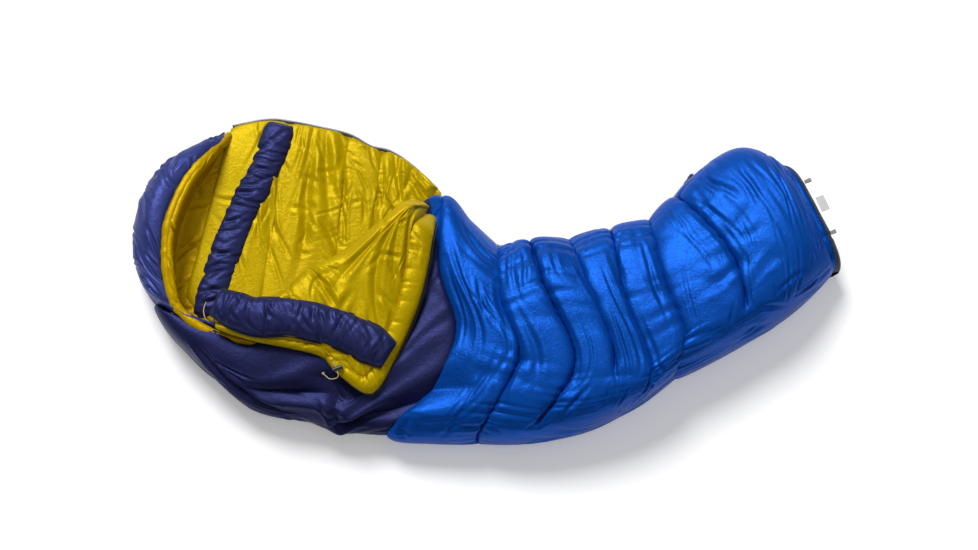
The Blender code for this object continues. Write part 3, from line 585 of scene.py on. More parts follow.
BLUE = nylon("royal_blue_nylon", (0.002, 0.062, 0.365), (0.003, 0.079, 0.440), 0.37)
# One navy fabric in three copies whose brightness is painted light and shade: the hood's copy is painted
# lighter where the hood faces the light, and the shoulder's and the collars' copies are painted darker as
# shade.
NAVY_PAINTED_SHADE = nylon("navy_nylon_painted_shade", (0.014, 0.017, 0.070), (0.021, 0.025, 0.098), 0.38)
COLLAR_NAVY_PAINTED_SHADE = nylon("collar_navy_nylon_painted_shade", (0.021, 0.025, 0.100), (0.029, 0.035, 0.130), 0.38)
HOOD_NAVY_PAINTED_LIT = nylon("hood_navy_nylon_painted_lit", (0.036, 0.050, 0.200), (0.050, 0.066, 0.250), 0.38)
YELLOW = nylon("yellow_lining", (0.460, 0.318, 0.0), (0.540, 0.382, 0.0), 0.38, 0.0015, 0.22)
GOLD = nylon("hood_lining_yellow", (0.500, 0.305, 0.0), (0.580, 0.368, 0.0), 0.38, 0.0015, 0.22)
DARK = nylon("foot_end_nylon", (0.008, 0.010, 0.026), (0.014, 0.016, 0.036), 0.45)
TAPE = woven("black_zip_tape", (0.008, 0.008, 0.010), (0.016, 0.016, 0.019))
COIL = moulded("black_coil", (0.010, 0.010, 0.011), (0.020, 0.020, 0.021), 0.35)
PLASTIC = moulded("black_plastic", (0.011, 0.011, 0.012), (0.018, 0.018, 0.019), 0.38)
METAL = moulded("slider_enamel", (0.045, 0.045, 0.048), (0.080, 0.080, 0.084), 0.30, 0.9)
STEEL = moulded("spring_steel", (0.50, 0.50, 0.51), (0.60, 0.60, 0.61), 0.25, 1.0)
WEBBING = woven("grey_webbing", (0.27, 0.26, 0.23), (0.36, 0.35, 0.31), 700.0)
RIBBON = woven("white_label", (0.60, 0.60, 0.61), (0.68, 0.68, 0.69), 1500.0, 0.5, 0.0001)
CORD = woven("cord_braid", (0.50, 0.40, 0.20), (0.62, 0.50, 0.26), 1100.0, 0.65)
THREAD = woven("seam_thread", (0.002, 0.040, 0.220), (0.003, 0.055, 0.280), 1500.0)


# ---------------------------------------------------------------- body


FULLNESS = 0.80  # power of the arch's curve; below 1 it is fuller than an ellipse
ZIP_HEIGHT, WIDEST_HEIGHT = 0.0425, 0.062  # of the top's edge at the zip, and of its near side
TUCKED_TURN = math.radians(-84)  # where the top ends, under the bag


def arch(rib, turn):
    """Points of a cross-section of the top, at each turn from its start down to under the bag."""
    plan, crest, start, zip_at = rib
    power = FULLNESS
    c = np.sign(np.cos(turn)) * np.abs(np.cos(turn)) ** power
    c0 = math.cos(math.radians(start))
    c0 = math.copysign(abs(c0) ** power, c0)
    share = np.clip((c - c0) / (1 - c0), 0, 1)
    points = spline(plan, share * (len(plan) - 1))
    rise = np.abs(np.sin(turn)) ** power
    middle = ZIP_HEIGHT + (WIDEST_HEIGHT - ZIP_HEIGHT) * smooth(1 - turn / math.pi)
    height = np.where(turn >= 0, middle + (crest - middle) * rise, middle * (1 - rise) + 0.0015)
    inward = np.asarray(plan[-2], float) - np.asarray(plan[-1], float)
    inward /= np.linalg.norm(inward)
    tuck = np.where(turn < 0, 0.040 * (1 - c), 0.0)
    points = points + inward * tuck[:, None]
    if zip_at is not None:
        at = ZIP_END + zip_at
        here = spline(ZIP_SIDE, [at])[0]
        ahead = spline(ZIP_SIDE, [min(at + 0.05, 13)])[0] - spline(ZIP_SIDE, [at - 0.05])[0]
        out = np.array((-ahead[1], ahead[0])) / np.linalg.norm(ahead)
        near = np.clip((turn - math.radians(150)) / math.radians(30), 0, 1) ** 2
        points = points + (here + out * 0.003 - np.asarray(plan[0])) * near[:, None]
    return with_height(points, height)


def top_grid():
    """The whole top, from the hood to the foot, and the row of the grid at each rib."""
    lines = 200
    rings = []
    for rib in RIBS:
        start = math.radians(rib[2])
        share = np.linspace(0, 1, lines)
        turn = start + (TUCKED_TURN - start) * share
        rings.append(arch(rib, turn))
    rings = np.array(rings)
    at, ribs = [], []
    for number, count in enumerate(COLUMNS):
        ribs.append(len(at))
        at += list(number + np.arange(count) / count)
    ribs.append(len(at))
    at.append(len(RIBS) - 1)
    grid = spline(rings.reshape(len(RIBS), -1), np.array(at)).reshape(len(at), lines, 3)
    return grid, ribs


def make_top():
    """The top: navy over the shoulder, blue over the body, in one piece of cloth."""
    grid, ribs = top_grid()
    shape = rows, cols = grid.shape[:2]
    out = normals(grid, -1)
    held = np.zeros(shape, bool)
    rng = np.random.default_rng(7)
    slack_v = 1.020 + 0.015 * field(shape, (26, 12), rng)
    slack_u = 1.016 + 0.012 * field(shape, (22, 14), rng)
    dent = np.zeros(shape)
    along = np.linspace(0, 1, cols)
    for rib, profile in SEAMS.items():
        row = ribs[rib]
        places, depths = zip(*profile)
        depth = np.interp(along, (0, *places, 1), (0.0, *depths, 0.0))
        depth *= 1 + 0.30 * np.interp(along, np.linspace(0, 1, 16), rng.uniform(-1, 1, 16))
        grid[row] -= out[row] * depth[:, None]
        held[row] = depth > 0.001
        spread = np.exp(-(((np.arange(rows) - row) / 8.0) ** 2))
        gather = smooth(depth / 0.008)[None, :]
        slack_v += 0.060 * spread[:, None] * gather
        dent += puckers(shape, row, 0.0135, rng, 9.0, 4.2) * (0.10 + 0.90 * gather)
    shoulder, foot = ribs[NAVY_SEAM] / rows, ribs[11] / rows
    for creases in (  # count, angle, length, width, depth, rows, columns
        (70, (0, 28), (8, 26), (1.0, 2.2), (0.0015, 0.0050), (shoulder, foot), (0.06, 0.62)),
        (26, (78, 22), (8, 24), (1.2, 2.6), (0.0015, 0.0045), (shoulder, 1), (0.1, 0.7)),
        (20, (70, 35), (24, 60), (3.5, 7.0), (0.010, 0.022), (0, shoulder), (0.15, 0.85)),
        (60, (70, 35), (8, 24), (1.0, 2.2), (0.0015, 0.0040), (0, shoulder), (0.05, 0.85)),
        (44, (4, 16), (8, 26), (0.9, 1.8), (0.0015, 0.0040), (foot, 1), (0.06, 0.45)),
        (16, (70, 30), (10, 26), (1.4, 3.0), (0.002, 0.005), (foot, 1), (0.2, 0.7)),
    ):
        dent += drags(shape, creases[0], rng, *creases[1:])
    dent *= smooth(along / 0.05)[None] * smooth((1 - along) / 0.12)[None]
    grid -= out * dent[..., None]
    held[:, 0] = held[:, -1] = held[0] = held[-1] = True
    held[:, -14:] = True
    slack = (slack_u, slack_v)
    grid = settle(
        grid, held, 0.00020, slack, bend=0.02, limit=0.022, seed=3, side=-1, seeds=0.0016,
        low=0.0012, high=0.232,
    )  # fmt: skip
    clear_track(grid, "upper_slider", "upper_slider_run", 0.022)
    clear_track(grid, "lower_slider", "lower_slider_run", 0.022)
    pick = np.zeros((rows - 1, cols - 1), int)
    # Near the zip the blue starts up to 16 rows before the seam, where the flap covers it.
    before = np.round(16 * smooth(1.6 - along[1:] / 0.16)).astype(int)
    pick[np.arange(rows - 1)[:, None] >= ribs[NAVY_SEAM] - before[None]] = 1
    # The shoulder's navy is the copy painted darker, as painted shade.
    made = sheet("top_cover", grid, [NAVY_PAINTED_SHADE, BLUE], pick.reshape(-1), thick=0.0015, side=-1)
    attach(made, "bag")
    downs = [f"body_down_{k}" for k in range(1, 8)] + ["shoulder_down_1", "shoulder_down_2"]
    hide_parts("body_shell", "shoulder_shell", *downs)
    return grid, ribs


def make_seam_threads(grid, ribs):
    """Rows of stitches that lie in the seams of the top."""
    places = []
    for rib in SEAMS:
        seam_end = int(SEAMS[rib][-1][0] * grid.shape[1])
        line = evenly(grid[ribs[rib], 8:seam_end], 0.0045)
        for k in range(1, len(line) - 1):
            places.append((line[k] + UP * 0.0006, line[k + 1] - line[k - 1], UP))
    made = boxes("top_seam_stitches", places, (0.0032, 0.0007, 0.0006), THREAD)
    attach(made, "bag")


def make_foot_end(grid):
    """The end wall, from the last cross-section of the top down to the floor."""
    edge = grid[-1][:-4]
    rows = 34
    w = np.linspace(0, 1, rows)[:, None, None] ** 1.7
    out = np.array((0.92153, 0.38832, 0.0))  # the way the foot points
    foot = edge.copy()
    foot[:, 2] = 0.0015
    wall = edge[None] * (1 - w) + foot[None] * w
    across = np.sin(np.pi * np.linspace(0, 1, len(edge)))[None, :, None] ** 0.3
    bulge = np.sin(np.pi * w**0.75) ** 0.45
    wall += out * 0.040 * bulge * across
    held = rim_held(wall.shape[:2])
    wall = settle(wall[:, ::-1], held, 0.0003, (1.03, 1.05), bend=0.06, limit=0.008, seed=11, low=0.0012)
    pick = np.ones((rows - 1, wall.shape[1] - 1), int)
    seam_row = int(np.argmax(bulge[:, 0, 0] > 0.50))
    pick[:seam_row] = 0
    made = sheet("foot_end_panel", wall, [BLUE, DARK], pick.reshape(-1), thick=0.0012)
    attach(made, "bag")
    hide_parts("foot_end_shell", "foot_end_down")
    line = wall[seam_row, ::-1][4:-4] + out * 0.001 + UP * 0.001
    piping = rope("foot_end_piping", evenly(line, 0.006), 0.0016, TAPE)
    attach(piping, "bag")
    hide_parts("foot_piping")


def make_base():
    """The back: a flat underside and the low side wall under the zip."""
    t = np.linspace(0, 13, 330)
    far, near = spline(ZIP_SIDE, t), spline(NEAR_SIDE, t)
    left = sideways(far)
    right = -sideways(near)
    rails = [
        with_height(far - left * 0.007, 0.0400), with_height(far - left * 0.002, 0.030),
        with_height(far - left * 0.003, 0.014), with_height(far - left * 0.014, 0.0018),
        with_height(far - left * 0.060, 0.0012), with_height((far + near) / 2, 0.0012),
        with_height(near - right * 0.100, 0.0012), with_height(near - right * 0.062, 0.0030),
        with_height(near - right * 0.052, 0.0180),
    ]  # fmt: skip
    v = np.interp(np.linspace(0, 1, 60), (0, 0.45, 0.55, 0.8, 1), (0, 3, 4, 6, 8))
    grid = loft(rails, v)[:, ::-1]
    held = np.zeros(grid.shape[:2], bool)
    held[:, :34] = held[:, -1] = held[0] = held[-1] = True
    grid = settle(
        grid, held, 0.0003, (1.03, 1.04), bend=0.06, limit=0.009, seed=5, side=-1, low=0.0010, rounds=60
    )
    pick = np.zeros((grid.shape[0] - 1, grid.shape[1] - 1), int)
    pick[int(ZIP_END / 13 * len(t)):] = 1
    made = sheet("back_cover", grid, [NAVY_PAINTED_SHADE, BLUE], pick.reshape(-1), thick=0.001, side=-1)
    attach(made, "bag")
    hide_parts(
        "back_shell_body", "back_shell_shoulder",
        *[f"back_down_{k}" for k in range(1, 7)], "hood_back_down",
    )  # fmt: skip


def make_back_lining():
    """The open lining between the zip and the fold, and on under the top."""
    count = 230
    t = np.linspace(0, 8, count)
    far, near = spline(EDGE, t), spline(UNDER_FOLD, t)
    cols = 140
    s = np.linspace(0, 1, cols)[None, :, None]
    plan = far[:, None] * (1 - s) + near[:, None] * s
    crown = np.sin(np.pi * np.clip(s[..., 0] / 0.25, 0, 1) * 0.5) + 0 * plan[..., 0]
    grid = with_height(plan, 0.0400 + 0.004 * crown)
    held = rim_held((count, cols))
    slack = np.full((count, cols), 1.018)
    for at, depth in ((1.9, 0.003), (4.0, 0.006), (5.6, 0.006)):
        row = int(round(at / 8 * (count - 1)))
        fade = np.interp(np.linspace(0, 1, cols), (0, 0.05, 0.5, 1), (0, 1, 1, 1))
        grid[row, :, 2] -= depth * fade
        held[row] = True
        slack += 0.04 * np.exp(-(((np.arange(count) - row) / 6.0) ** 2))[:, None]
    rng = np.random.default_rng(23)
    slack_u = 1.026 + 0.018 * field((count, cols), (14, 10), rng)
    slack_v = slack + 0.014 * field((count, cols), (12, 9), rng)
    shape = (count, cols)
    dent = np.zeros(shape)
    for at in (4.0, 5.6):
        dent += puckers(shape, int(at / 8 * count), 0.005, rng, 5, 3.6)
    dent += drags(shape, 26, rng, (6, 20), (26, 70), (1.8, 4.5), (0.004, 0.010), (0.1, 1), (0, 0.75))
    dent += drags(shape, 60, rng, (8, 32), (8, 30), (0.9, 2.0), (0.002, 0.005), (0.05, 1), (0, 0.7))
    dent += drags(shape, 26, rng, (80, 35), (5, 12), (0.9, 1.8), (0.002, 0.004), (0.05, 1), (0, 0.7))
    dent *= smooth(np.linspace(0, 1, cols) / 0.04)[None]
    grid[..., 2] += 0.006 - dent
    slack = (slack_u[:, ::-1], slack_v[:, ::-1])
    grid = settle(
        grid[:, ::-1], held[:, ::-1], 0.00025, slack, bend=0.02, limit=0.018, seed=9, low=0.030, seeds=0.002
    )
    clear_lock(grid, "upper_slider", -0.0045, 0.026)
    made = sheet("back_lining_cloth", grid, [YELLOW], thick=0.0012)
    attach(made, "bag")
    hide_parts("back_lining")


def make_inner_lining(grid):
    """The lining on the inside of the top, seen through the open end."""
    inner = grid[::2, ::2]
    seen = (slice(10, 136), slice(0, 52))  # the part of the grid over the open end
    top = inner[seen]
    cloth = top - normals(inner, -1)[seen] * 0.036
    cloth[..., 2] = np.minimum(np.clip(cloth[..., 2], 0.046, 0.112), top[..., 2] - 0.007)
    made = sheet("top_lining_cloth", cloth, [YELLOW], thick=0.0012)
    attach(made, "bag")
    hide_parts("body_lining", "shoulder_lining")


# ---------------------------------------------------------------- hood


def make_hood():
    """The hood's cover, its lining, and the edge of the face opening."""
    count = 230
    t = np.linspace(0, 8, count)
    rim, side = spline(HOOD_RIM, t), spline(HOOD_SIDE, t)
    out = side - rim[:, :2]
    out /= np.linalg.norm(out, axis=1, keepdims=True)

    def between(share, height, more=0.0):
        """Points from the rim (0) to the widest line (1), and more outwards."""
        return with_height(rim[:, :2] * (1 - share) + side * share + out * more, height)

    rng = np.random.default_rng(31)
    make_hood_cover(between, rim[:, 2], rng)
    make_hood_lining(between, rim, spline(HOOD_FLOOR, t), rng)
    make_face_edge(between(0.0, rim[:, 2]), out, t)


def make_hood_cover(between, high, rng):
    widest = np.minimum(0.080, 0.55 * high + 0.005)
    slope = high - widest
    rails = [
        between(1.0, 0.0015, -0.034), between(1.0, widest * 0.30, -0.006), between(1.0, widest, 0.0),
        between(0.86, widest + slope * 0.62, 0.0), between(0.56, high - 0.004, 0.0),
        between(0.26, high - 0.004, 0.0), between(0.12, high - 0.014, 0.0),
    ]  # fmt: skip
    cols = 64
    grid = loft(rails, np.linspace(0, len(rails) - 1, cols))
    grid = grid[: int(len(grid) * 7.6 / 8)]  # the top's cloth covers the rest
    shape = grid.shape[:2]
    held = rim_held(shape)
    held[:, :4] = True
    slack_u = 1.055 + 0.04 * field(shape, (18, 5), rng)
    slack_v = 1.035 + 0.03 * field(shape, (12, 5), rng)
    dent = drags(shape, 30, rng, (60, 40), (6, 18), (1.2, 2.4), (0.003, 0.007), (0, 1), (0.3, 0.95))
    dent += drags(shape, 16, rng, (0, 25), (6, 16), (1.2, 2.4), (0.003, 0.006), (0, 1), (0.3, 0.95))
    dent *= (smooth(np.linspace(0, 1, cols) / 0.15) * smooth(np.linspace(1, 0, cols) / 0.06))[None]
    grid -= normals(grid) * dent[..., None]
    slack = (slack_u, slack_v)
    grid = settle(grid, held, 0.00025, slack, bend=0.02, limit=0.016, seed=13, low=0.0012, seeds=0.002)
    # The hood's navy is the copy painted lighter, as painted light where the hood faces the light.
    made = sheet("hood_cover", grid, [HOOD_NAVY_PAINTED_LIT], thick=0.0012)
    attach(made, "bag")
    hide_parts("hood_shell", "hood_down")


def make_hood_lining(between, rim, floor, rng):
    high = rim[:, 2]
    rails = [
        between(0.06, high - 0.006), between(-0.10, high - 0.004, -0.004),
        between(-0.10, high - 0.022, -0.004), between(0.02, 0.5 * high + 0.022),
        between(0.0, 0.048, -0.006), with_height(rim[:, :2] * 0.70 + floor * 0.30, 0.041),
        with_height(rim[:, :2] * 0.35 + floor * 0.65, 0.043), with_height(floor, 0.040),
    ]  # fmt: skip
    cols = 84
    grid = loft(rails, np.linspace(0, len(rails) - 1, cols))
    shape = grid.shape[:2]
    slack_u = 1.06 + 0.04 * field(shape, (16, 7), rng)
    slack_v = 1.04 + 0.03 * field(shape, (14, 7), rng)
    dent = drags(shape, 46, rng, (20, 50), (8, 20), (1.2, 2.4), (0.003, 0.007), (0, 1), (0.1, 0.95))
    dent *= (smooth(np.linspace(0, 1, cols) / 0.10) * smooth(np.linspace(1, 0, cols) / 0.06))[None]
    grid -= normals(grid) * dent[..., None]
    held, slack = rim_held(shape), (slack_u, slack_v)
    grid = settle(grid, held, 0.00022, slack, bend=0.02, limit=0.014, seed=17, low=0.032, seeds=0.002)
    made = sheet("hood_lining_cloth", grid, [GOLD], thick=0.0012)
    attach(made, "bag")
    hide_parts("hood_lining", "hood_back_lining")


def make_face_edge(line, out, t):
    """The face edge: a rolled yellow band with a black binding outside it."""
    rng = np.random.default_rng(37)
    count = len(line)
    wobble = 1 + 0.10 * np.interp(np.arange(count), np.linspace(0, count, 60), rng.uniform(-1, 1, 60))
    size = 0.0150 * wobble * np.interp(t, (0, 1, 7, 8), (0.6, 1, 0.9, 0.7))
    band = rope("hood_face_band", line, size, GOLD, 14, 0.72)
    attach(band, "bag")
    dark = rope("hood_face_binding", line + with_height(out * 0.0150, 0.0040), 0.0028, TAPE)
    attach(dark, "bag")
    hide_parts("hood_edge_binding")


# ---------------------------------------------------------------- flap


FLAP_START = 0.050  # height of the flap's cloth where it leaves the zip's end


def flap_level(plan):
    """Height of the flap's underside over each plan point."""
    across = (np.asarray(plan)[..., :2] - FOLD_START) @ FLAP_SIDE
    return 0.162 - 0.022 * (np.clip(across, 0, 0.5) / 0.44) ** 2


def make_flap():
    """The folded corner: its lining on top, its outer cloth below, and a gusset at the fold."""
    count = 260
    t = np.linspace(0, 9, count)
    fold, seam, edge = spline(FOLD, t), spline(FLAP_SEAM, t), spline(FLAP_EDGE, t)
    inward = edge - fold
    reach = np.linalg.norm(inward, axis=1, keepdims=True)
    inward /= reach + 1e-9
    tuck = inward * np.minimum(1.0, reach[:, 0] / 0.09)[:, None]
    rise = smooth(t / 1.1)  # from the low end of the zip up to the fold

    def lift(height):
        return FLAP_START + (height - FLAP_START) * rise

    make_flap_lining(fold, seam, edge, tuck, lift, count)
    make_flap_outer(fold, edge, tuck, lift, 0.006 * (1 - rise))

    shell = flap_level(fold)
    gusset = [
        with_height(fold + tuck * 0.004, lift(0.146)), with_height(fold, lift(0.152)),
        with_height(fold, lift(shell - 0.004)), with_height(fold + tuck * 0.004, lift(shell + 0.003)),
    ]  # fmt: skip
    grid = loft(gusset, np.linspace(0, 3, 9))[60:]
    made = sheet("fold_gusset", grid, [NAVY_PAINTED_SHADE], thick=0.0010)
    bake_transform(made)
    return t, edge, inward, flap_level(edge), rise


def make_flap_lining(fold, seam, edge, tuck, lift, count):
    shell, seam_level, edge_level = flap_level(fold), flap_level(seam), flap_level(edge)
    rails = [
        with_height(fold + tuck * 0.050, lift(0.112)), with_height(fold + tuck * 0.012, lift(0.116)),
        with_height(fold - tuck * 0.010, lift(0.138)), with_height(fold - tuck * 0.012, lift(0.172)),
        with_height(fold + tuck * 0.016, lift(shell + 0.035)),
        with_height(fold * 0.62 + seam * 0.38, lift(shell * 0.62 + seam_level * 0.38 + 0.036)),
        with_height(fold * 0.25 + seam * 0.75, lift(seam_level + 0.034)),
        with_height(seam, lift(seam_level + 0.026)),
        with_height(seam * 0.45 + edge * 0.55, lift(edge_level + 0.025)),
        with_height(edge, lift(edge_level + 0.012)),
    ]  # fmt: skip
    cols = 130
    stops = (0, 0.06, 0.11, 0.16, 0.22, 0.44, 0.66, 0.82, 0.91, 1.0)
    at = np.interp(np.linspace(0, 1, cols), stops, range(len(rails)))
    grid = loft(rails, at)
    shape = grid.shape[:2]
    seam_col = int(np.argmin(abs(at - 7)))
    held = rim_held(shape)
    held[:, seam_col] = True
    held[:6] = True
    rng = np.random.default_rng(41)
    slack_u = 1.05 + 0.03 * field(shape, (14, 8), rng)
    slack_u = slack_u + 0.07 * np.exp(-(((np.arange(cols) - seam_col) / 7.0) ** 2))[None]
    slack_v = 1.045 + 0.03 * field(shape, (16, 7), rng)
    dent = np.swapaxes(puckers((cols, count), seam_col, 0.007, rng, 7, 3.6), 0, 1)
    dent += drags(shape, 14, rng, (50, 40), (24, 60), (2.5, 5.5), (0.005, 0.011), (0, 1), (0.25, 0.9))
    dent += drags(shape, 60, rng, (65, 40), (6, 24), (0.9, 2.2), (0.002, 0.006), (0, 1), (0.2, 0.9))
    dent += drags(shape, 36, rng, (5, 30), (6, 18), (0.9, 2.2), (0.002, 0.006), (0, 1), (0.15, 0.9))
    near = np.linspace(0, 1, cols)
    dent *= (smooth((near - 0.10) / 0.06) * smooth((1 - near) / 0.04))[None]
    dent *= smooth(np.arange(count) / 14.0)[:, None]
    grid[..., 2] -= dent
    slack = (slack_u, slack_v)
    top = settle(grid, held, 0.00022, slack, bend=0.02, limit=0.014, seed=19, seeds=0.002, high=0.238)
    clear_lock(top, "hood_cord_lock")
    made = sheet("flap_lining_cloth", top, [YELLOW], thick=0.0012)
    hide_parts("flap_lining", "flap_down", "flap_draft_tube")
    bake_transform(made)


def make_flap_outer(fold, edge, tuck, lift, sink):
    shell, edge_level = flap_level(fold), flap_level(edge)
    middle = (fold + edge) / 2
    under = [
        with_height(fold + tuck * 0.004, lift(shell + 0.004) - sink),
        with_height(fold + tuck * 0.04, lift(shell - 0.002) - sink),
        with_height(middle, lift(flap_level(middle) - 0.002) - sink),
        with_height(edge - tuck * 0.03, lift(edge_level) - sink),
        with_height(edge, lift(edge_level + 0.010) - sink),
    ]
    grid = loft(under, np.linspace(0, 4, 60))[34:]
    held = rim_held(grid.shape[:2])
    grid = settle(grid[:, ::-1], held, 0.0002, (1.04, 1.04), bend=0.06, limit=0.006, seed=21, rounds=60)
    made = sheet("flap_outer_cloth", grid, [NAVY_PAINTED_SHADE], thick=0.0012)
    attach(made, "flap")
    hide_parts("flap_shell")


def make_flap_zip(t, edge, inward, level, rise):
    """Tape, teeth and pale binding along the flap's zip edge."""
    keep = (t > 0.25) & (t < 5.0)
    out = -sideways(edge)
    out = out * np.sign((out * inward).sum(1))[:, None]
    height = (FLAP_START + (level + 0.012 - FLAP_START) * rise)[keep]
    run = edge[keep]
    away = out[keep]
    sides = ((-0.008, 0.001), (0.004, -0.001))
    tape = np.stack([with_height(run + away * off, height + up) for off, up in sides], 1)
    made = sheet("flap_zip_band", tape, [TAPE], thick=0.0010)
    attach(made, "flap")
    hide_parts("flap_zip_tape")
    teeth("flap_zip_teeth", with_height(run + away * 0.0055, height - 0.001), "flap", "flap_zip_coil")
    made = rope("flap_zip_edge_roll", with_height(run - away * 0.004, height + 0.003), 0.0030, GOLD, 8)
    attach(made, "flap")
    tail = (t >= 4.85) & (t < 8.9)
    made = rope("flap_edge_binding", with_height(edge[tail], (level + 0.013)[tail]), 0.0030, TAPE, 8)
    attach(made, "flap")


def teeth(name, line, body, node_name):
    """A zip's coil, as one row of small teeth."""
    line = evenly(line, 0.0030)
    ahead = np.gradient(line, axis=0)
    places = [(line[k], ahead[k], np.array((0, 0, 1.0))) for k in range(len(line))]
    made = boxes(name, places, (0.0017, 0.0042, 0.0024), COIL)
    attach(made, body)
    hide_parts(node_name)


def gathered(name, centre, width, height, ground, seed, body, node_name, ends):
    """A down-filled collar: a ruffled tube on the lining, with black piping on both sides.

    ground gives the height of what it lies on; ends is its width at its ends, as a share.
    """
    line = curve(centre, 0.0036)
    count, cols = len(line), 44
    left = sideways(line)
    turn = np.linspace(-8, 188, cols) * math.pi / 180
    share = np.linspace(0, 1, count)
    rng = np.random.default_rng(seed)
    swell = 1 + 0.05 * np.interp(share, np.linspace(0, 1, 12), rng.uniform(-1, 1, 12))
    fall = np.interp(share, (0, 0.03, 0.10, 0.90, 0.97, 1), (0.15, 0.75, 1, 1, 0.75, 0.15))
    taper = np.interp(share, (0, 0.12, 0.88, 1), (ends, 1, 1, ends)) * swell
    side = -np.cos(turn)[None] * width / 2 * taper[:, None]
    rise = np.maximum(np.sin(turn), -0.1)[None] * height * (fall * swell)[:, None]
    plan = line[:, None] + left[:, None] * -side[..., None]
    grid = with_height(plan, ground(plan) + rise)
    shape = (count, cols)
    held = rim_held(shape)
    held[:, 1] = held[:, -2] = True
    slack_u = 1.05 + 0.03 * field(shape, (count / 9, 3), rng)
    dent = drags(shape, int(count / 1.1), rng, (24, 34), (5, 15), (0.9, 1.8), (0.0012, 0.0042))
    edge = smooth(np.minimum(np.arange(cols), np.arange(cols)[::-1]) / 13.0)[None]
    dent *= edge
    grid -= normals(grid, -1) * dent[..., None]
    limit = (0.0015 + 0.0075 * edge)[..., None]
    slack = (slack_u, 1.04)
    grid = settle(
        grid, held, 0.00018, slack, bend=0.02, limit=limit, seed=seed, side=-1, seeds=0.0012
    )
    # The collars' navy is a copy painted darker, as painted shade.
    made = sheet(name, grid, [COLLAR_NAVY_PAINTED_SHADE], thick=0.0012, side=-1, levels=1)
    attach(made, body)
    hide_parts(node_name)
    for number, way in enumerate((-1, 1)):
        plan = line[:, :2] + left * way * ((width / 2 + 0.0030) * taper)[:, None]
        rim = with_height(plan, ground(plan) + 0.0035)
        piping = rope(f"{name}_piping_{number + 1}", evenly(rim, 0.006), 0.0026, TAPE, 8)
        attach(piping, body)


def make_base_zip():
    """Binding, tape and teeth along the back's open zip edge."""
    t = np.linspace(0.05, 7.9, 220)
    line = spline(EDGE, t)
    left = sideways(line)
    binding = rope("back_edge_binding", with_height(line + left * 0.001, 0.0440), 0.0034, TAPE, 8)
    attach(binding, "bag")
    tape = np.stack([with_height(line, 0.0420), with_height(line + left * 0.009, 0.0400)], 1)
    made = sheet("back_zip_band", tape, [TAPE], thick=0.0010)
    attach(made, "bag")
    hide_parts("back_zip_tape")
    teeth("back_zip_teeth", with_height(line + left * 0.0105, 0.0395), "bag", "back_zip_coil")


def closed_points(out, height):
    """Where the closed zip runs beside the body, at a distance outside its edge."""
    points = []
    for start, end, steps in ((0.02, 0.98, 1), (1.2, 3.95, 12), (4.05, 5.0, 1)):
        for k in range(steps + 1):
            at = ZIP_END + start + (end - start) * k / steps
            ahead = spline(ZIP_SIDE, [at + 0.02])[0] - spline(ZIP_SIDE, [at - 0.02])[0]
            side = np.array((-ahead[1], ahead[0])) / np.linalg.norm(ahead)
            points.append((*(spline(ZIP_SIDE, [at])[0] + side * out), height))
    return np.array(points)


def make_closed_zip():
    """Meshed teeth inside the closed zip's coil, so that its surface reads as a zip."""
    line = evenly(closed_points(0.013, 0.0420), 0.0032)
    ahead = np.gradient(line, axis=0)
    places = [(line[k], ahead[k], np.array((0, 0, 1.0))) for k in range(len(line))]
    made = boxes("closed_zip_teeth", places, (0.0018, 0.0036, 0.0033), COIL)
    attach(made, "bag")
    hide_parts("closed_zip_coil")


# ---------------------------------------------------------------- cords


FRAME_SHIFT = np.array((0.0031, 0.0115, 0.0))  # from part.py's points to the frame


def cord_route(origin, ahead, before, after, tail, count):
    """Straight through the lock's hole, from before to after it, then along the tail's points."""
    middle, along = Vector(origin), Vector(ahead).normalized()
    side = Vector((0, 0, 1)).cross(along).normalized()
    hole = middle + along * 0.0070
    straight = [tuple(hole + side * (before + (after - before) * i / 4)) for i in range(5)]
    points = np.array(straight + [tuple(p) for p in tail], float) + FRAME_SHIFT
    return spline(points, np.linspace(0, len(points) - 1, count + 1))


def make_cords():
    """The free ends of the hood's and the collar's draw cords, each through its lock."""
    tail = [(-0.410, -0.325, 0.186), (-0.430, -0.326, 0.182), (-0.446, -0.312, 0.178)]
    line = cord_route((-0.405, -0.297, 0.1908), (-0.93, -0.36, 0.0), -0.026, 0.018, tail, 20)
    add_cord("hood_draw_cord", line, "flap", "hood_drawcord", "knot")
    tail = [(-0.790, -0.128, 0.112), (-0.794, -0.100, 0.090), (-0.785, -0.060, 0.058)]
    line = cord_route((-0.760, -0.150, 0.1180), (-0.35, -0.94, 0.0), 0.013, -0.019, tail, 24)
    add_cord("collar_draw_cord", line, "bag", "collar_drawcord", "object")


def add_cord(name, line, body, node_name, far_end):
    made = rope(name, line, 0.0014, CORD, 10)
    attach(made, body)
    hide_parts(node_name)
    if far_end == "knot":
        knot = rope(f"{name}_knot", knot_line(line[-1], line[-1] - line[-2]), 0.0013, CORD, 8)
        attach(knot, body)
    tuple(line[0])
    [tuple(p) for p in line]  # fmt: skip


def knot_line(end, ahead):
    """A small overhand knot at a cord's end."""
    ahead = ahead / np.linalg.norm(ahead)
    side = np.cross((0.0, 0.0, 1.0), ahead)
    side /= np.linalg.norm(side)
    up = np.cross(ahead, side)
    a = np.linspace(0, 2 * np.pi, 40)
    x, y, z = np.sin(a) + 2 * np.sin(2 * a), np.cos(a) - 2 * np.cos(2 * a), -np.sin(3 * a)
    return end + ahead * 0.003 + (x[:, None] * ahead + y[:, None] * side + z[:, None] * up) * 0.0011


# ---------------------------------------------------------------- finish of CAD nodes


